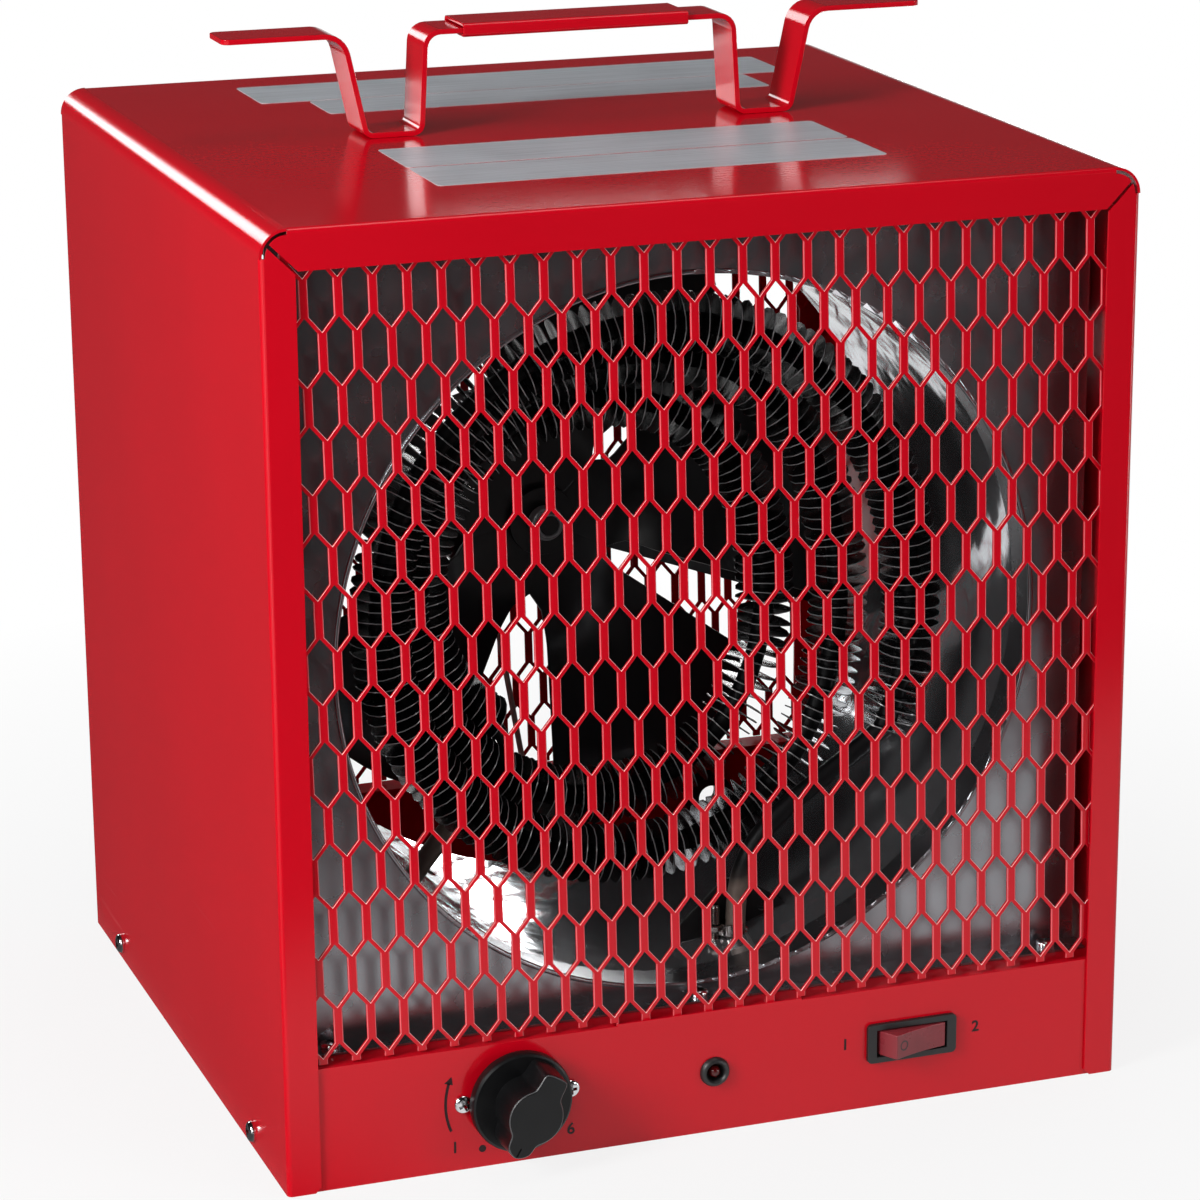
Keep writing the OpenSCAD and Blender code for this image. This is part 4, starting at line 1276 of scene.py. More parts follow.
@dataclass
class Grilles:
    """Expanded metal sheets at the front and the rear.

    Attributes:
        half_cell: Half the width of an opening with its strands.
        row: Height from one row to the next.
        corner: Height of an opening's side corner over its middle.
        peak: Height of an opening's top over its middle.
        strand: Width of half a slanted strand.
        bond: Width that the upright bonds get beyond the strand's.
        lean: Sideways lean of the columns for each millimetre of height.
        level: Height at which the lean is nought.
        first: Middle of the first opening.
        count: Number of openings along a row and of pairs of rows.
        tongue: Left, right and lower end of the tongue behind the panel.
        near: Height over the lower edge where the tongue's cuts end.
    """

    half_cell: float = 6.165
    row: float = 19.0
    corner: float = 5.8
    peak: float = 13.2
    strand: float = 0.76
    bond: float = 0.97
    thick: float = 1.2
    edge: float = 0.3
    lean: float = 0.0205
    level: float = 222.0
    first: Pair = (-177.985, 24.9)
    count: tuple[int, int] = (30, 10)
    low: float = 48.4
    top: float = 349.0
    half: float = 158.0
    tongue: Point = (-38.0, 35.0, 39.5)
    near: float = 6.0
    front: float = -147.6
    depth: float = 294.0
    weld: float = 0.05

    def make_cell(self) -> Piece:
        """One pair of openings of two rows, with their strands.

        Returns:
            The flat strands in X and Y.
        """
        x0, y0 = self.first
        side, high, top = self.half_cell, self.corner, self.peak
        corners = [(0, top), (-side, high), (-side, -high), (0, -top), (side, -high), (side, high)]
        piece = Bench.outline("mesh_sheet", [(x0 + x, y0 + y) for x, y in corners])
        slope = (top - high) / side

        def widen(co: Vector) -> Vector:
            """Moves the inner side corners in, along the slanted strands."""
            dx, dy = co.x - x0 * MM, co.y - y0 * MM
            if abs(dx) < MM:
                return co
            inward = -math.copysign(self.bond, dx)
            return co + Vector((inward, math.copysign(self.bond * slope, dy), 0)) * MM

        Bench.edit(piece)
        bpy.ops.mesh.select_mode(type="FACE")
        bpy.ops.mesh.inset(thickness=self.strand * MM, depth=0)
        Bench.move(piece, widen)
        bpy.ops.mesh.delete(type="ONLY_FACE")
        bpy.ops.mesh.select_all(action="SELECT")
        step = (side * MM, self.row * MM, 0)
        bpy.ops.mesh.duplicate_move(TRANSFORM_OT_translate={"value": step})
        Bench.done()
        return piece

    def split(self, co: Point, no: Point, **clear: bool) -> None:
        """Cuts what is selected along a plane given in millimetres."""
        bpy.ops.mesh.bisect(plane_co=Vector(co) * MM, plane_no=no, threshold=0.00001, **clear)

    def trim(self, piece: Piece, with_tongue: bool) -> None:
        """Cuts a sheet to its outline.

        Args:
            piece: Sheet in edit mode.
            with_tongue: Whether the sheet has the tongue behind the panel.
        """
        left, right, foot = self.tongue
        low = foot if with_tongue else self.low
        for co, no in (((-self.half, 0, 0), (-1, 0, 0)), ((self.half, 0, 0), (1, 0, 0)),
                       ((0, self.top, 0), (0, 1, 0)), ((0, low, 0), (0, -1, 0))):
            bpy.ops.mesh.select_all(action="SELECT")
            self.split(co, no, clear_outer=True)
        if not with_tongue:
            return
        for co, no in (((0, self.low, 0), (0, 1, 0)), ((left, 0, 0), (1, 0, 0)),
                       ((right, 0, 0), (1, 0, 0))):
            Bench.pick(piece, Kind.FACE, lambda co, no: co.y < (self.low + self.near) * MM)
            self.split(co, no)
        Bench.pick(piece, Kind.FACE, lambda co, no: (co.y < self.low * MM
                                                     and not left * MM < co.x < right * MM))
        bpy.ops.mesh.delete(type="FACE")

    def make_sheet(self, name: str, with_tongue: bool) -> Piece:
        """A sheet, repeated from its cell and cut to its outline.

        Args:
            name: Name of the piece.
            with_tongue: Whether the sheet has the tongue behind the panel.

        Returns:
            The sheet at the front.
        """
        piece = self.make_cell()
        steps = ((2 * self.half_cell * MM, 0, 0), (0, 2 * self.row * MM, 0))
        for step, count in zip(steps, self.count):
            Bench.refine(piece, "ARRAY", count=count, use_relative_offset=False,
                         use_constant_offset=True, constant_offset_displace=step,
                         use_merge_vertices=True, merge_threshold=self.weld * MM)
        Bench.edit(piece)
        bpy.ops.mesh.remove_doubles(threshold=self.weld * MM)
        level = self.level * MM
        Bench.move(piece, lambda co: co - Vector((self.lean * (co.y - level), 0, 0)))
        self.trim(piece, with_tongue)
        Bench.done()
        Bench.refine(piece, "SOLIDIFY", thickness=self.thick * MM, offset=-1.0)
        Bench.soften(piece, self.edge, 2, 86, False)
        Bench.smooth(piece, 50)
        piece.data.transform(Bench.facing((0, self.front, 0), FRONTWARD))
        piece.name = piece.data.name = name
        return piece

    def build(self, shop: PaintShop) -> None:
        """Makes both sheets.

        Args:
            shop: Holder of the nodes and finishes.
        """
        front = self.make_sheet("front_mesh", True)
        shop.hand_over(front, Body.CASING, Slot.RED, "front_grille")
        # Painted highlights: side-facing rounded strand edges get mid pink and up-facing ones pale
        # pink, standing in for glints of the lamps.
        shop.edge(front, Trim.STRAND_EDGE, lambda face: (-0.97 < face.normal.y < -0.3
                                                         and abs(face.normal.z) < 0.15))
        # Painted highlight on the up-facing rounded strand edges.
        shop.edge(front, Trim.STRAND_TOP, lambda face: (-0.97 < face.normal.y < -0.3
                                                        and face.normal.z > 0.15))
        rear = self.make_sheet("rear_mesh", False)
        rear.data.transform(Matrix.Translation((0, self.depth * MM, 0)))
        shop.hand_over(rear, Body.CASING, Slot.RED, "rear_grille")


@dataclass
class Handle:
    """The bent strip with its two arms, and the sleeve over its bar.

    Attributes:
        shift: Place of the strip's middle across the cabinet.
        strip: Way out, height and bend radius of the corners of half the strip.
        width: Front and rear edge of the strip.
        corner: Rounding of the arms' ends.
        sleeve: Depth, height and bend radius of the corners of the sleeve.
        sleeve_ends: Left and right end of the sleeve.
    """

    shift: float = 3.3
    strip: tuple[Point, ...] = ((0, 392.5, 0), (61.5, 392.5, 6), (63.7, 355.05, 3.5),
                                (85.3, 355.05, 3.5), (93.5, 393, 9), (139.7, 393, 0))
    width: Pair = (0.5, 21.5)
    thick: float = 2.0
    edge: float = 0.28
    corner: float = 3.0
    sleeve: tuple[Point, ...] = ((7.5, 390.7, 0), (-0.4, 390.7, 0.9), (-0.4, 394.7, 0.95),
                                 (22.4, 394.7, 0.95), (22.4, 390.7, 0.9), (14.5, 390.7, 0))
    sleeve_ends: Pair = (-44.0, 46.0)
    sleeve_wall: float = 1.2
    sleeve_edge: float = 0.3

    def make_strip(self) -> Piece:
        """The strip with its arms.

        Returns:
            The finished strip.
        """
        half = Bench.bent(self.strip)
        path = [(self.shift - x, z) for x, z in reversed(half[1:])]
        path += [(self.shift + x, z) for x, z in half]
        front, rear = self.width
        strip = Bench.band("handle_band", path, lambda a, b, t: (a, front + t * (rear - front), b))
        tips = (path[0][0], path[-1][0])
        Bench.edit(strip)
        Bench.pick(strip, Kind.VERT,
                   lambda co, no: min(abs(co.x - tip * MM) for tip in tips) < 0.01 * MM)
        bpy.ops.mesh.bevel(offset=self.corner * MM, segments=5, affect="VERTICES")
        Bench.done()
        Bench.thicken(strip, self.thick, self.edge)
        return strip

    def build(self, shop: PaintShop) -> None:
        """Makes the strip and the sleeve.

        Args:
            shop: Holder of the nodes and finishes.
        """
        shop.hand_over(self.make_strip(), Body.CASING, Slot.RED, "handle_strip")
        left, right = self.sleeve_ends
        sleeve = Bench.band("grip_cover", Bench.bent(self.sleeve),
                            lambda a, b, t: (left + t * (right - left), a, b))
        Bench.thicken(sleeve, self.sleeve_wall, self.sleeve_edge)
        shop.hand_over(sleeve, Body.CASING, Slot.RED, "grip_sleeve")


@dataclass
class Element:
    """The finned tube, wound to a cone, with its bare ends.

    Attributes:
        radius: Radius of the first turn.
        step: Loss of radius in a turn.
        lead: Depth of a turn.
        start: Angle of the first fin.
        front: Depth of the first fin.
        axis: Height of the cone's axis.
        drum: Inside radius of the drum.
        inlet: Place of the front end across the drum.
        below: How far the front end reaches past the drum.
        rise: Height over the front end of the first bend's two handles.
        swing: Length and angle of the first fin's handle.
        bend: Radius of the rear end's bend.
        past: How far the rear end reaches past the drum.
        tube: Radius of the tube.
        fin: Radius of a fin.
        sides: Sides of a fin.
        pitch: Way from fin to fin.
        wave: Height and number of waves of a fin's rim.
        draw: How much the inner turn is drawn in.
        hang: Winding angle where the inner turn leaves the cone, and its run.
        sag: How far it hangs to the left and down.
        pull: How far the turns lie to the left at the right side, first and later.
        pull_run: Winding angle from the first to the later pull.
    """

    radius: float = 112.6
    step: float = 13.5
    lead: float = 22.0
    turns: float = 2.73
    turn_steps: int = 2880
    start: float = -30.0
    front: float = -90.5
    axis: float = 187.0
    drum: float = 136.1
    inlet: float = 31.0
    below: float = 4.0
    rise: Pair = (14.0, 54.0)
    swing: Pair = (40.0, 40.0)
    rise_steps: int = 12
    bend: float = 14.0
    bend_step: int = 15
    past: float = 8.0
    tube: float = 4.0
    fin: float = 11.5
    sides: int = 16
    pitch: float = 4.2
    thick: float = 0.42
    wave: Pair = (0.32, 3.0)
    draw: float = 8.0
    hang: Pair = (380.0, 370.0)
    sag: Pair = (7.0, 3.0)
    pull: Pair = (7.5, 16.0)
    pull_run: float = 500.0

    def turn(self, a: float) -> Vector:
        """A point of the coil, the inner turn drawn in and hanging.

        Args:
            a: Angle of winding in radians.

        Returns:
            The point in millimetres.
        """
        w = math.radians(self.start) + a
        ease = share((math.degrees(a) - self.hang[0]) / self.hang[1])
        r = self.radius - self.step * a / (2 * math.pi) - self.draw * ease
        right = max(0.0, math.cos(w)) ** 2
        later = 1 - (1 - min(1.0, math.degrees(a) / self.pull_run)) ** 2
        drawn = self.pull[0] + (self.pull[1] - self.pull[0]) * later
        pull = self.sag[0] * ease * (1 - right) + drawn * right
        return Vector((r * math.cos(w) - pull, self.front + self.lead * a / (2 * math.pi),
                       self.axis + r * math.sin(w) - self.sag[1] * ease))

    def stations(self) -> list[Vector]:
        """The fins' places along the coil.

        Returns:
            Points of the coil, one fin step apart.
        """
        places, last, gone = [self.turn(0)], self.turn(0), 0.0
        count = int(self.turns * self.turn_steps)
        for i in range(1, count + 1):
            here = self.turn(i * self.turns * 2 * math.pi / count)
            gone += (here - last).length
            last = here
            if gone >= self.pitch:
                places.append(here)
                gone -= self.pitch
        return places

    def route(self) -> list[Vector]:
        """The tube's way from its front end to its rear end.

        Returns:
            Points of the tube's middle line.
        """
        coil = self.stations()
        first, end = coil[0], coil[-1]
        low = self.axis - self.drum - self.below
        rise = [Vector((self.inlet, self.front, low + height)) for height in (0, *self.rise)]
        length, angle = self.swing[0], math.radians(self.swing[1])
        curve = (*rise[1:], first - length * Vector((math.cos(angle), 0, math.sin(angle))), first)
        route = rise[:1]
        for i in range(self.rise_steps):
            t = i / self.rise_steps
            weights = ((1 - t) ** 3, 3 * t * (1 - t) ** 2, 3 * t * t * (1 - t), t ** 3)
            route.append(sum((p * k for p, k in zip(curve, weights)), Vector()))
        route += coil
        out = Vector((end.x, 0, end.z - self.axis)).normalized()
        side = Vector((-out.z, 0, out.x))
        for degrees in range(self.bend_step, 91, self.bend_step):
            w = math.radians(degrees)
            route.append(end + self.bend * ((1 - math.cos(w)) * out + math.sin(w) * side))
        radius = math.hypot(route[-1].x, route[-1].z - self.axis)
        route.append(route[-1] + (self.drum + self.past - radius) * out)
        return route

    def make_tube(self) -> Piece:
        """The tube along its route.

        Returns:
            The finished tube.
        """
        route = self.route()
        curve = bpy.data.curves.new("coil_tube", "CURVE")
        curve.dimensions = "3D"
        curve.bevel_depth = self.tube * MM
        curve.bevel_resolution = 3
        curve.use_fill_caps = True
        spline = curve.splines.new("POLY")
        spline.points.add(len(route) - 1)
        for point, place in zip(spline.points, route):
            point.co = (*(place * MM), 1)
        piece = bpy.data.objects.new("coil_tube", curve)
        bpy.context.scene.collection.objects.link(piece)
        Bench.take(piece)
        bpy.ops.object.convert(target="MESH")
        piece = Bench.named("coil_tube")
        Bench.smooth(piece, 50)
        return piece

    def make_fin(self) -> Piece:
        """One turned ring with a waved rim.

        Returns:
            The fin about Z.
        """
        bore, t = self.tube - 0.1, self.thick / 2
        rings = [(bore, -t), (self.fin, -t), (self.fin, t), (bore, t)]
        piece = Bench.ring("coil_fins", rings, self.sides)
        height, count = self.wave

        def bend(co: Vector) -> Vector:
            """Bends the rim to and fro."""
            out = max(0.0, math.hypot(co.x, co.y) / MM - self.tube) / (self.fin - self.tube)
            return co + Vector((0, 0, height * MM * out * math.sin(count * math.atan2(co.y, co.x))))

        Bench.edit(piece)
        Bench.move(piece, bend)
        Bench.done()
        Bench.smooth(piece)
        return piece

    def make_fins(self) -> Piece:
        """The fins along the coil, each a little out of line.

        Returns:
            All fins in one mesh.
        """
        fin = self.make_fin()
        fins: list[Piece] = []
        places = self.stations()
        for i, place in enumerate(places):
            way = (places[min(i + 1, len(places) - 1)] - places[max(i - 1, 0)]).normalized()
            place = place + 0.25 * math.sin(i * 7.3) * way
            way += 0.035 * Vector((math.sin(i * 3.7), math.sin(i * 5.1), math.sin(i * 2.3)))
            turn = Vector((0, 0, 1)).rotation_difference(way).to_matrix().to_4x4()
            turn = turn @ Matrix.Rotation(i * 2.4, 4, "Z")
            fins.append(Bench.copy(fin, Bench.facing(place, turn)))
        Bench.drop(fin)
        return Bench.join(fins, "coil_fins")

    def build(self, shop: PaintShop) -> None:
        """Makes the tube and its fins.

        Args:
            shop: Holder of the nodes and finishes.
        """
        shop.hand_over(self.make_tube(), Body.CASING, Slot.SHEATH, "element_tube")
        fins = self.make_fins()
        shop.hand_over(fins, Body.CASING, Slot.FINS, "element_fins")
        # Painted highlight: the rim faces, found by their area, get a lighter grey as a glint line
        # on each black fin.
        rim = 2 * math.pi * self.fin / self.sides * self.thick * MM * MM
        shop.edge(fins, Trim.FIN_EDGE, lambda face: 0.7 * rim < face.area < 1.4 * rim)


@dataclass
class ColdEnd:
    """The stud, its nut and the clip that hold the tube's front end.

    Attributes:
        stud: Foot of the stud.
        stud_top: Height of its top.
        thread: Pitch of its thread.
        nut: Radius and height of the nut's rings over the foot.
        tube_x: Place of the tube across the drum.
        clip: Foot and width of the clip over the stud's foot.
    """

    stud: Point = (22.5, -90.5, 52.6)
    stud_top: float = 67.0
    thread: float = 0.9
    nut: tuple[Pair, ...] = ((3.0, 3.6), (3.5, 4.0), (3.5, 5.8), (3.0, 6.2))
    tube_x: float = 31.0
    clip: Pair = (1.6, 4.6)
    clip_wall: float = 0.6
    edge: float = 0.15

    def make_stud(self) -> Piece:
        """The threaded stud.

        Returns:
            The stud in its place.
        """
        rings: list[Pair] = [(1.9, 0.0)]
        height = self.stud_top - self.stud[2]
        for i in range(int(height / self.thread)):
            rings += [(2.0, self.thread * i + 0.3), (1.6, self.thread * i + 0.75)]
        rings += [(1.5, height - 0.2), (1.0, height)]
        stud = Bench.turned("clip_stud", rings, 16)
        Bench.smooth(stud, 60)
        stud.data.transform(Bench.facing(self.stud, UPRIGHT))
        return stud

    def make_clip(self) -> Piece:
        """The strip that is bent round the tube.

        Returns:
            The clip in its place.
        """
        x, y, z = self.stud
        low, width = self.clip
        far = self.tube_x - x
        knots = ((-3.6, -0.6, 0), (far - 6, -0.6, 3), (far - 4.7, -3.2, 2), (far, -4.9, 3.5),
                 (far + 4.9, 0, 3.5), (far, 4.9, 3.5), (far - 4.7, 3.2, 2), (far - 6, 0.6, 3),
                 (-3.6, 0.6, 0))
        clip = Bench.band("tube_clip", Bench.bent(knots, 4),
                          lambda a, b, t: (x + a, y + b, z + low + width * t))
        Bench.thicken(clip, self.clip_wall, self.edge, 1)
        return clip

    def build(self, shop: PaintShop) -> None:
        """Makes the stud, the nut and the clip.

        Args:
            shop: Holder of the nodes and finishes.
        """
        stud = self.make_stud()
        nut = Bench.turned("clip_nut", self.nut, 6)
        Bench.soften(nut, self.edge, 1, 50)
        nut.data.transform(Bench.facing(self.stud, UPRIGHT))
        piece = Bench.join([stud, nut, self.make_clip()], "cold_end_clip")
        shop.hand_over(piece, Body.CASING, Slot.ZINC, coat=Trim.DULLED)


@dataclass
class Knob:
    """The thermostat knob with its winged grip.

    Attributes:
        rest: Turn of the grip at rest.
        bulge: Radius of the grip's round middle.
        wing: Half the width of its wings.
        end: Reach of the upper wing.
        tip: Reach of the lower wing.
        slope: Distance and direction of the lower wing's slanted sides.
        crisp: Sharpness of the wings' corners and of the middle's.
        foot: Height where the grip starts.
        taper: Factors of its upper face.
        line: Half width and the two ends of the line cut into it.
    """

    place: Point = (-77.5, -151.6, 26.0)
    rest: float = -30.0
    skirt: float = 19.3
    skirt_h: float = 5.0
    height: float = 20.0
    bulge: float = 10.8
    wing: float = 5.3
    end: float = 17.5
    tip: float = 17.2
    slope: Point = (13.1, 0.747, 0.664)
    crisp: tuple[int, int] = (14, 11)
    points: int = 160
    foot: float = 2.0
    taper: Pair = (0.965, 0.975)
    line: Point = (0.45, -16.2, -12.4)

    def reach(self, a: float) -> float:
        """Distance of the grip's outline from the middle.

        Args:
            a: Angle from +Y in radians.

        Returns:
            The distance in millimetres.
        """
        s, c = abs(math.sin(a)) + 1e-6, math.cos(a)
        far, across, down = self.slope
        limits = [self.wing / s]
        if c > 0:
            limits += [self.end]
        else:
            limits += [self.tip / max(-c, 1e-6), far / (across * s - down * c)]
        corner, middle = self.crisp
        wing = sum(limit ** -corner for limit in limits) ** (-1 / corner)
        return (wing ** middle + self.bulge ** middle) ** (1 / middle)

    def make_skirt(self) -> Piece:
        """The round skirt.

        Returns:
            The skirt about Z.
        """
        r, h = self.skirt, self.skirt_h
        return Bench.turned("knob", [(r - 1.5, 0), (r - 0.3, 0.3), (r, 0.9), (r, h - 1.4),
                                     (r - 0.35, h - 0.5), (r - 1.1, h), (r - 2.4, h - 0.25),
                                     (12.0, h - 0.75), (4.0, h - 0.8)], 96)

    def make_grip(self) -> Piece:
        """The winged grip with the line cut into it.

        Returns:
            The grip about Z.
        """
        outline = []
        for i in range(self.points):
            a = i * 2 * math.pi / self.points
            outline.append((-self.reach(a) * math.sin(a), self.reach(a) * math.cos(a)))
        grip = Bench.slab("grip", outline, self.foot, self.height - self.foot, taper=self.taper)
        Bench.soften(grip, 0.9, 3, 60)
        half, start, end = self.line
        Bench.cut(grip, Bench.block("line", (-half, start, self.height - 0.5),
                                    (half, end, self.height + 0.5)))
        return grip

    def build(self, shop: PaintShop) -> None:
        """Makes the skirt and the grip.

        Args:
            shop: Holder of the nodes and finishes.
        """
        skirt = self.make_skirt()
        piece = Bench.join([skirt, self.make_grip()], "knob")
        Bench.smooth(piece, 35)
        turn = FRONTWARD @ Matrix.Rotation(math.radians(self.rest), 4, "Z")
        piece.data.transform(Bench.facing(self.place, turn))
        shop.hand_over(piece, Body.KNOB, Slot.BLACK, "thermostat_knob", coat=Trim.DIAL)
        front = (self.place[1] - self.height + 2) * MM
        # Painted highlight: the forward-facing bevel faces of the grip get a lighter grey.
        shop.edge(piece, Trim.DIAL_EDGE, lambda face: (face.center.y < front
                                                       and -0.95 < face.normal.y < -0.5))


@dataclass
class Switch:
    """The rocker switch: frame with its tabs, and the rocker with its hollow face.

    Attributes:
        outer: Width and height of the frame's flange.
        inner: Width and height of its opening.
        housing: Width and height of its housing.
        proud: How far the flange stands out.
        corner: Rounding of the flange's corners.
        tabs: Places of the tabs along the switch.
        tab: Half thickness, length and half height of a tab.
        pivot: Depth of the rocker's pin.
        half: Half the length of the rocker.
        face: Half the length of its hollow face.
        back: Corners of its rear, from the right end on.
        rocker_z: Half its height.
        ridge: How far it stands out from its pin.
        hollow: Depth of its face.
        pin: Radius of its pin and how far it reaches out.
        mark_x: Place of the ring on its face.
        mark: Radius and height of the ring's edges.
    """

    place: Point = (79.5, -148.8, 26.0)
    outer: Pair = (36.4, 15.6)
    inner: Pair = (28.8, 10.7)
    housing: Pair = (31.6, 13.5)
    proud: float = 2.0
    corner: float = 1.9
    depth: float = 24.0
    edge: float = 0.45
    tabs: Point = (-10.0, 0.0, 10.0)
    tab: Point = (0.4, 6.0, 2.4)
    pivot: float = -145.5
    half: float = 13.9
    side: float = -0.7
    face: float = 11.8
    face_steps: int = 8
    back: tuple[Pair, ...] = ((13.2, 3), (6, 7), (-6, 7), (-13.2, 3))
    rocker_z: float = 4.85
    ridge: float = 8.6
    hollow: float = 0.8
    pin: Pair = (1.5, 1.0)
    tilt: float = 16.0
    mark_x: float = -8.0
    mark: tuple[Pair, ...] = ((1.5, -0.12), (2.0, -0.12), (2.0, 0.05), (1.5, 0.05))

    def inset(self, piece: Piece, way: float, opening: Pair, depth: float) -> None:
        """Insets the frame's front or rear face and extrudes it to the rear.

        Args:
            piece: Frame in edit mode.
            way: 1 for the rear face, -1 for the front face.
            opening: Width and height of the inset face.
            depth: How far it goes.
        """
        x0 = self.place[0] * MM
        width, height = opening
        Bench.pick(piece, Kind.FACE, lambda co, no: way * no.y > 0.9)
        bpy.ops.mesh.inset(thickness=(self.outer[1] - height) / 2 * MM, depth=0)
        Bench.move(piece, lambda co: Vector((x0 + math.copysign(width / 2 * MM, co.x - x0),
                                             co.y, co.z)))
        Bench.extrude(0, depth, 0)

    def make_frame(self) -> Piece:
        """The frame, its housing and three tabs.

        Returns:
            The finished frame.
        """
        x, y, z = self.place
        w, h = self.outer
        piece = Bench.block("switch_bezel", (x - w / 2, y - self.proud, z - h / 2),
                            (x + w / 2, y - 0.05, z + h / 2))
        Bench.edit(piece)
        self.inset(piece, 1, self.housing, self.depth)
        self.inset(piece, -1, self.inner, self.depth - 0.5)
        Bench.pick(piece, Kind.EDGE, lambda co, no: (abs(no.y) > 0.9
                                                     and abs(co.x - x * MM) > (w / 2 - 0.1) * MM))
        bpy.ops.mesh.bevel(offset=self.corner * MM, segments=5, affect="EDGES")
        Bench.done()
        Bench.soften(piece, self.edge, 3, 50)
        half, length, high = self.tab
        rear = y + self.depth
        tabs = [Bench.block("tab", (x + s - half, rear - 0.5, z - high),
                            (x + s + half, rear + length, z + high)) for s in self.tabs]
        for tab in tabs:
            Bench.soften(tab, 0.15, 1)
        piece = Bench.join([piece, *tabs], "switch_bezel")
        Bench.smooth(piece)
        return piece

    def facet(self, x: float) -> Pair:
        """A point of the hollow face, from its place along the rocker."""
        return x, -self.ridge + self.hollow * (1 - (x / self.face) ** 2)

    def make_rocker(self) -> Piece:
        """The rocker with its pin.

        Returns:
            The rocker about Z, not yet tilted.
        """
        n, high = self.face_steps, self.rocker_z
        profile = [(-self.half, self.side),
                   *(self.facet(self.face * i / n) for i in range(-n, n + 1)),
                   (self.half, self.side), *self.back]
        rocker = Bench.slab("rocker", profile, -high, 2 * high)
        Bench.soften(rocker, self.edge, 3, 50)
        radius, out = self.pin
        pin = Bench.turned("pin", [(radius - 0.1, -high - out), (radius, -high - out + 0.1),
                                   (radius, high + out - 0.1), (radius - 0.1, high + out)], 20)
        rocker = Bench.join([rocker, pin], "rocker")
        Bench.smooth(rocker, 30)
        return rocker

    def build(self, shop: PaintShop) -> None:
        """Makes the frame, the rocker and the ring on it.

        Args:
            shop: Holder of the nodes and finishes.
        """
        shop.hand_over(self.make_frame(), Body.CASING, Slot.BLACK, "switch_frame")
        x, _, z = self.place
        tilt = Matrix.Rotation(math.radians(self.tilt), 4, "Z")
        turn = Bench.facing((x, self.pivot, z), tilt)
        rocker = self.make_rocker()
        rocker.data.transform(turn)
        shop.hand_over(rocker, Body.ROCKER, Slot.ROCKER, "switch_rocker")
        mark = Bench.ring("rocker_ring", self.mark, 32)
        slope = Matrix.Rotation(math.atan(-2 * self.hollow * self.mark_x / self.face ** 2), 4, "Z")
        spot = Bench.facing((*self.facet(self.mark_x), 0), slope @ FRONTWARD)
        mark.data.transform(turn @ spot)
        shop.hand_over(mark, Body.ROCKER, Slot.BLACK)


@dataclass
class Lamp:
    """The pilot lamp: domed ring and lens, as radius and height of their rings."""

    place: Point = (0.0, -148.8, 24.0)
    bezel: tuple[Pair, ...] = ((3.3, -0.5), (3.35, 1.0), (3.6, 1.7), (4.1, 2.15), (4.7, 2.1),
                               (5.3, 1.6), (5.7, 0.8), (5.8, 0.05), (4.6, 0.05), (4.6, -16.8),
                               (3.3, -16.8))
    lens: tuple[Pair, ...] = ((3.05, -12), (3.05, -3), (2.3, -2.9), (2.3, -0.4), (2.2, 0.3),
                              (1.85, 1.0), (1.3, 1.5), (0.6, 1.8), (0, 1.88))

    def build(self, shop: PaintShop) -> None:
        """Makes the ring and the lens.

        Args:
            shop: Holder of the nodes and finishes.
        """
        bezel = Bench.ring("lamp_ring", self.bezel)
        lens = Bench.turned("lamp_glass", self.lens, 32)
        for piece, slot, node in ((bezel, Slot.BLACK, "lamp_bezel"),
                                  (lens, Slot.LAMP, "lamp_lens")):
            Bench.smooth(piece)
            piece.data.transform(Bench.facing(self.place, FRONTWARD))
            shop.hand_over(piece, Body.CASING, slot, node)


@dataclass(frozen=True)
class ScrewSize:
    """Radius and height of a screw's head, and radius and length of its shank."""

    radius: float
    height: float
    shank: float
    length: float


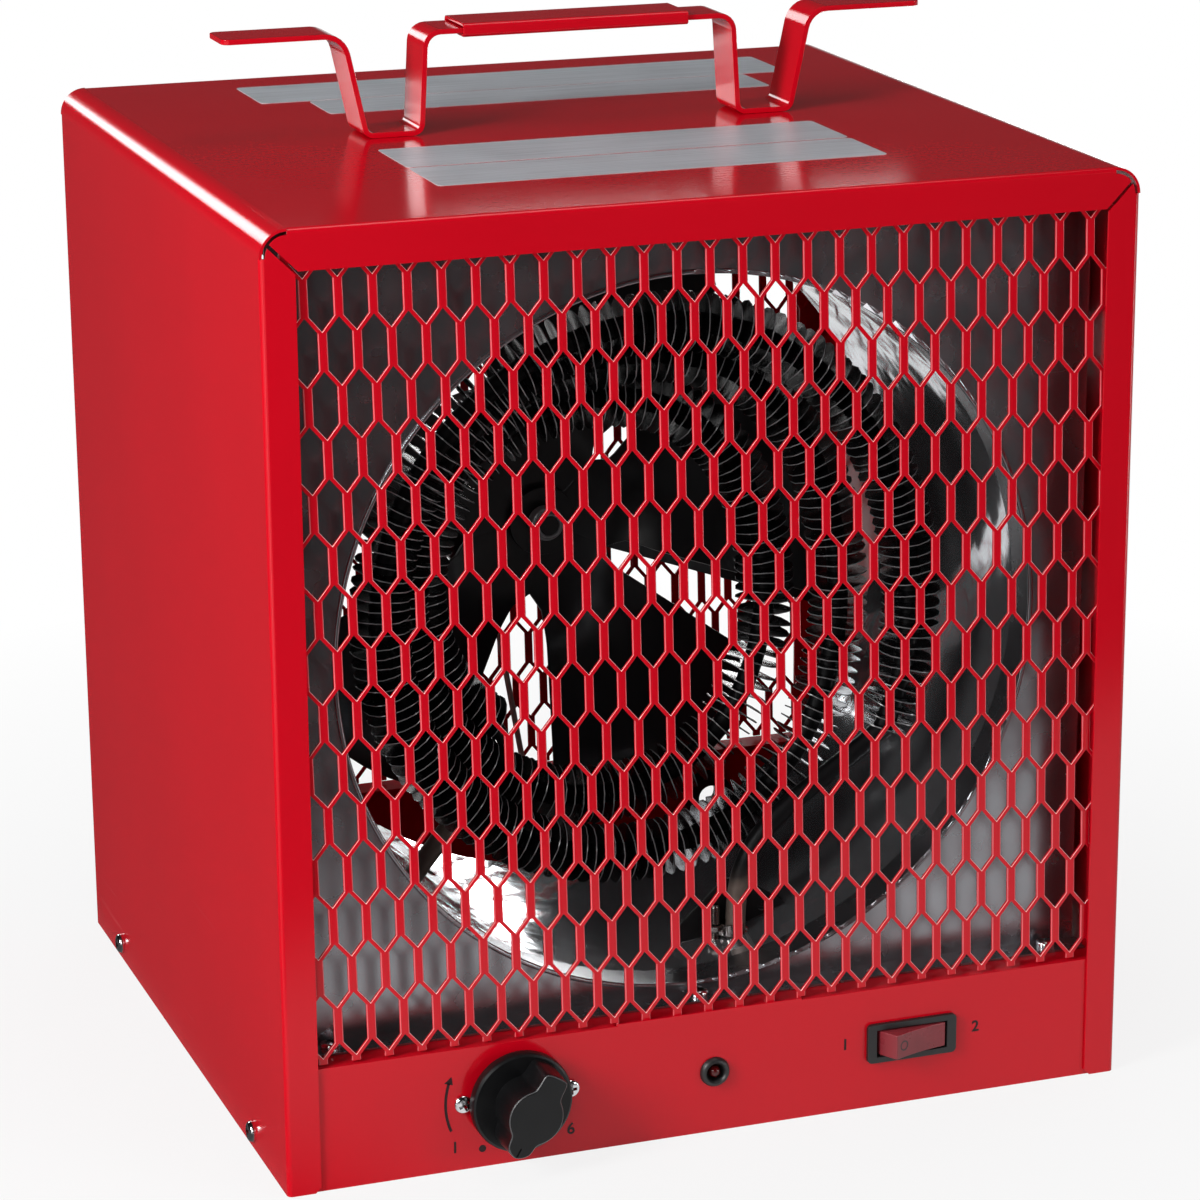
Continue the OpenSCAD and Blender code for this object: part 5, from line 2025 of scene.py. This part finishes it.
@dataclass
class Screws:
    """Pan heads with a cross recess, one model for each size.

    Attributes:
        side: Place of the side screws on the right at the rear.
        dial: Middle of the two screws beside the knob and their distance from it.
        plate: Place of the baffle's right screw.
        panel: Depth of the control panel's front.
        thread: Pitch of the threads and height of the point.
    """

    side: Point = (165.0, 103.0, 7.0)
    side_size: ScrewSize = ScrewSize(4.0, 2.6, 1.9, 8.0)
    dial: Point = (-77.5, 20.7, 26.0)
    dial_size: ScrewSize = ScrewSize(3.5, 1.9, 1.5, 6.0)
    plate: Point = (143.0, -132.0, 48.5)
    plate_size: ScrewSize = ScrewSize(3.7, 2.6, 1.9, 7.0)
    panel: float = -148.8
    thread: Pair = (0.5, 1.2)

    def make_screw(self, name: str, size: ScrewSize) -> Piece:
        """One screw about Z, its head above 0.

        Args:
            name: Name of the piece.
            size: Size of its head and shank.

        Returns:
            The screw with its recess cut in.
        """
        r, h, shank = size.radius, size.height, size.shank
        pitch, point = self.thread
        low = -size.length + point
        rings = [(shank * 0.4, -size.length), (shank, low)]
        rings += [(shank * (1.0 if i % 2 else 0.82), low + pitch * i)
                  for i in range(1, int((size.length - point) / pitch))]
        rings += [(shank, 0.05), (r * 0.97, 0.05), (r, 0.3 * h), (r * 0.95, 0.6 * h),
                  (r * 0.8, 0.84 * h), (r * 0.5, 0.97 * h), (0, h)]
        piece = Bench.turned(name, rings, 28)
        a, b = r * 0.6, r * 0.16
        cross = [(a, -b), (a, b), (b, b), (b, a), (-b, a), (-b, b), (-a, b), (-a, -b), (-b, -b),
                 (-b, -a), (b, -a), (b, -b)]
        Bench.cut(piece, Bench.slab("cut", cross, -0.3 * h, 2.3 * h))
        Bench.smooth(piece, 38)
        return piece

    def build(self, shop: PaintShop) -> None:
        """Makes the three sets of screws that show.

        Args:
            shop: Holder of the nodes and finishes.
        """
        x, y, z = self.side
        sides = [Bench.facing((s * x, t * y, z), Matrix.Rotation(math.radians(s * 90), 4, "Y"))
                 for s in (-1, 1) for t in (-1, 1)]
        x, step, z = self.dial
        dial = [Bench.facing((x + s * step, self.panel, z), FRONTWARD) for s in (-1, 1)]
        x, y, z = self.plate
        plate = [Bench.facing((s * x, y, z), UPRIGHT) for s in (-1, 0, 1)]
        for name, size, places, node in (("side_screw", self.side_size, sides, "casing_screws"),
                                         ("dial_screw", self.dial_size, dial, "thermostat_screws"),
                                         ("plate_screw", self.plate_size, plate, "baffle_screws")):
            screw = self.make_screw(name, size)
            copies = [Bench.copy(screw, place @ Matrix.Rotation(0.5 + 1.1 * i, 4, "Z"))
                      for i, place in enumerate(places)]
            Bench.drop(screw)
            piece = Bench.join(copies, name + "s")
            shop.hand_over(piece, Body.CASING, Slot.SCREW, node)


@dataclass
class Gland:
    """The cord inlet at the rear: a ribbed bush, as radius and height of its rings."""

    place: Point = (110.0, 148.8, 24.0)
    bush: tuple[Pair, ...] = ((5.5, -7.5), (6.0, -8), (10.2, -8), (10.5, -7.5), (10.5, 0.05),
                              (13, 0.05), (13, 1.1), (12.5, 1.4), (12.5, 1.8), (12.9, 2.1),
                              (12.8, 2.9), (12.2, 3.6), (11.2, 4.0), (9.4, 4.05), (9.0, 3.7),
                              (8.2, 3.7), (7.8, 4.05), (6.1, 4.05), (5.5, 3.5))

    def build(self, shop: PaintShop) -> None:
        """Makes the bush.

        Args:
            shop: Holder of the nodes and finishes.
        """
        piece = Bench.ring("cord_bush", self.bush, 56)
        Bench.smooth(piece, 35)
        piece.data.transform(Bench.facing(self.place, REARWARD))
        shop.hand_over(piece, Body.CASING, Slot.BLACK, "cord_gland")


@dataclass
class Plates:
    """Bare foil plates on the top, as left, right, front and rear of each."""

    low: float = 354.02
    thick: float = 0.12
    corner: float = 2.0
    areas: tuple[tuple[float, float, float, float], ...] = (
        (-85, 88, -97, -61), (-85, 88, -59.5, -22), (-99, 122, 88, 127), (-80, 103, 57, 87))

    def build(self, shop: PaintShop) -> None:
        """Makes the plates.

        Args:
            shop: Holder of the nodes and finishes.
        """
        plates: list[Piece] = []
        for left, right, front, rear in self.areas:
            corners = [(left, front), (right, front), (right, rear), (left, rear)]
            plates.append(Bench.slab("foil_plate", corners, self.low, self.thick, self.corner))
        piece = Bench.join(plates, "foil_plates")
        shop.hand_over(piece, Body.CASING, Slot.SHEET, coat=Trim.FOIL)


@dataclass
class PanelMarks:
    """Plain numbers, a turning arrow and a dot on the control panel.

    Attributes:
        numbers: Each number and its middle on the panel.
        size: Height of the numbers.
        bold: How much their strokes are widened.
        half: Half their thickness.
        lift: Height of their middle over the panel.
        thick: Thickness of the other marks.
        dial: Middle of the knob.
        arc: Angle where the arrow's arc starts, and its run.
        arc_radii: Outer and inner radius of the arc.
        head: Corners of the arrow's head.
        dot: Middle of the dot.
    """

    front: float = -148.8
    numbers: tuple[tuple[str, float, float], ...] = (
        ("1", -101.5, 9.0), ("6", -56.7, 9.6), ("1", 52.7, 26.7), ("2", 106.4, 26.5))
    size: float = 6.2
    bold: float = 0.12
    half: float = 0.03
    lift: float = 0.04
    thick: float = 0.07
    dial: Pair = (-77.5, 26.0)
    arc: Pair = (161.0, 41.0)
    arc_steps: int = 16
    arc_radii: Pair = (27.85, 26.8)
    head: tuple[Pair, ...] = ((-102.4, 37.2), (-105.2, 34.9), (-101.9, 33.9))
    dot: Pair = (-91.0, 7.2)
    dot_radius: float = 1.4
    dot_sides: int = 20

    def number(self, text: str, x: float, y: float) -> Piece:
        """One plain number as a thin mesh.

        Args:
            text: The number.
            x: Middle across the panel.
            y: Middle up the panel.

        Returns:
            The number in the panel's plane.
        """
        bpy.ops.object.select_all(action="DESELECT")
        bpy.ops.object.text_add()
        piece = bpy.context.object
        piece.data.body = text
        piece.data.size = self.size * MM
        piece.data.align_x = piece.data.align_y = "CENTER"
        piece.data.extrude = self.half * MM
        piece.data.offset = self.bold * MM
        bpy.ops.object.convert(target="MESH")
        piece = bpy.context.object
        piece.data.transform(Matrix.Translation((x * MM, y * MM, self.lift * MM)))
        return piece

    def build(self, shop: PaintShop) -> None:
        """Makes the marks.

        Args:
            shop: Holder of the nodes and finishes.
        """
        pieces = [self.number(*row) for row in self.numbers]
        start, run = self.arc
        turns = [math.radians(start + run * i / self.arc_steps) for i in range(self.arc_steps + 1)]
        outer, inner = self.arc_radii
        arc = [on_circle(self.dial, outer, a) for a in turns]
        arc += [on_circle(self.dial, inner, a) for a in reversed(turns)]
        dot = [on_circle(self.dot, self.dot_radius, 2 * math.pi * i / self.dot_sides)
               for i in range(self.dot_sides)]
        for name, points in (("arrow_arc", arc), ("arrow_head", self.head), ("dot", dot)):
            pieces.append(Bench.slab(name, points, 0.0, self.thick))
        piece = Bench.join(pieces, "panel_marks")
        piece.data.transform(Bench.facing((0, self.front, 0), FRONTWARD))
        shop.hand_over(piece, Body.CASING, Slot.BLACK, coat=Trim.INK)


def main() -> None:
    """Builds the heater and its stage."""
    logging.basicConfig(level=logging.INFO, format="%(name)s %(message)s")
    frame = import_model()
    Stage().build()
    shop = PaintShop(frame)
    shop.dress_nodes()
    for part in (SheetWork(), Fan(), Grilles(), Handle(), Element(), ColdEnd(), Knob(), Switch(),
                 Lamp(), Screws(), Gland(), Plates(), PanelMarks()):
        part.build(shop)


if __name__ == "__main__":
    main()
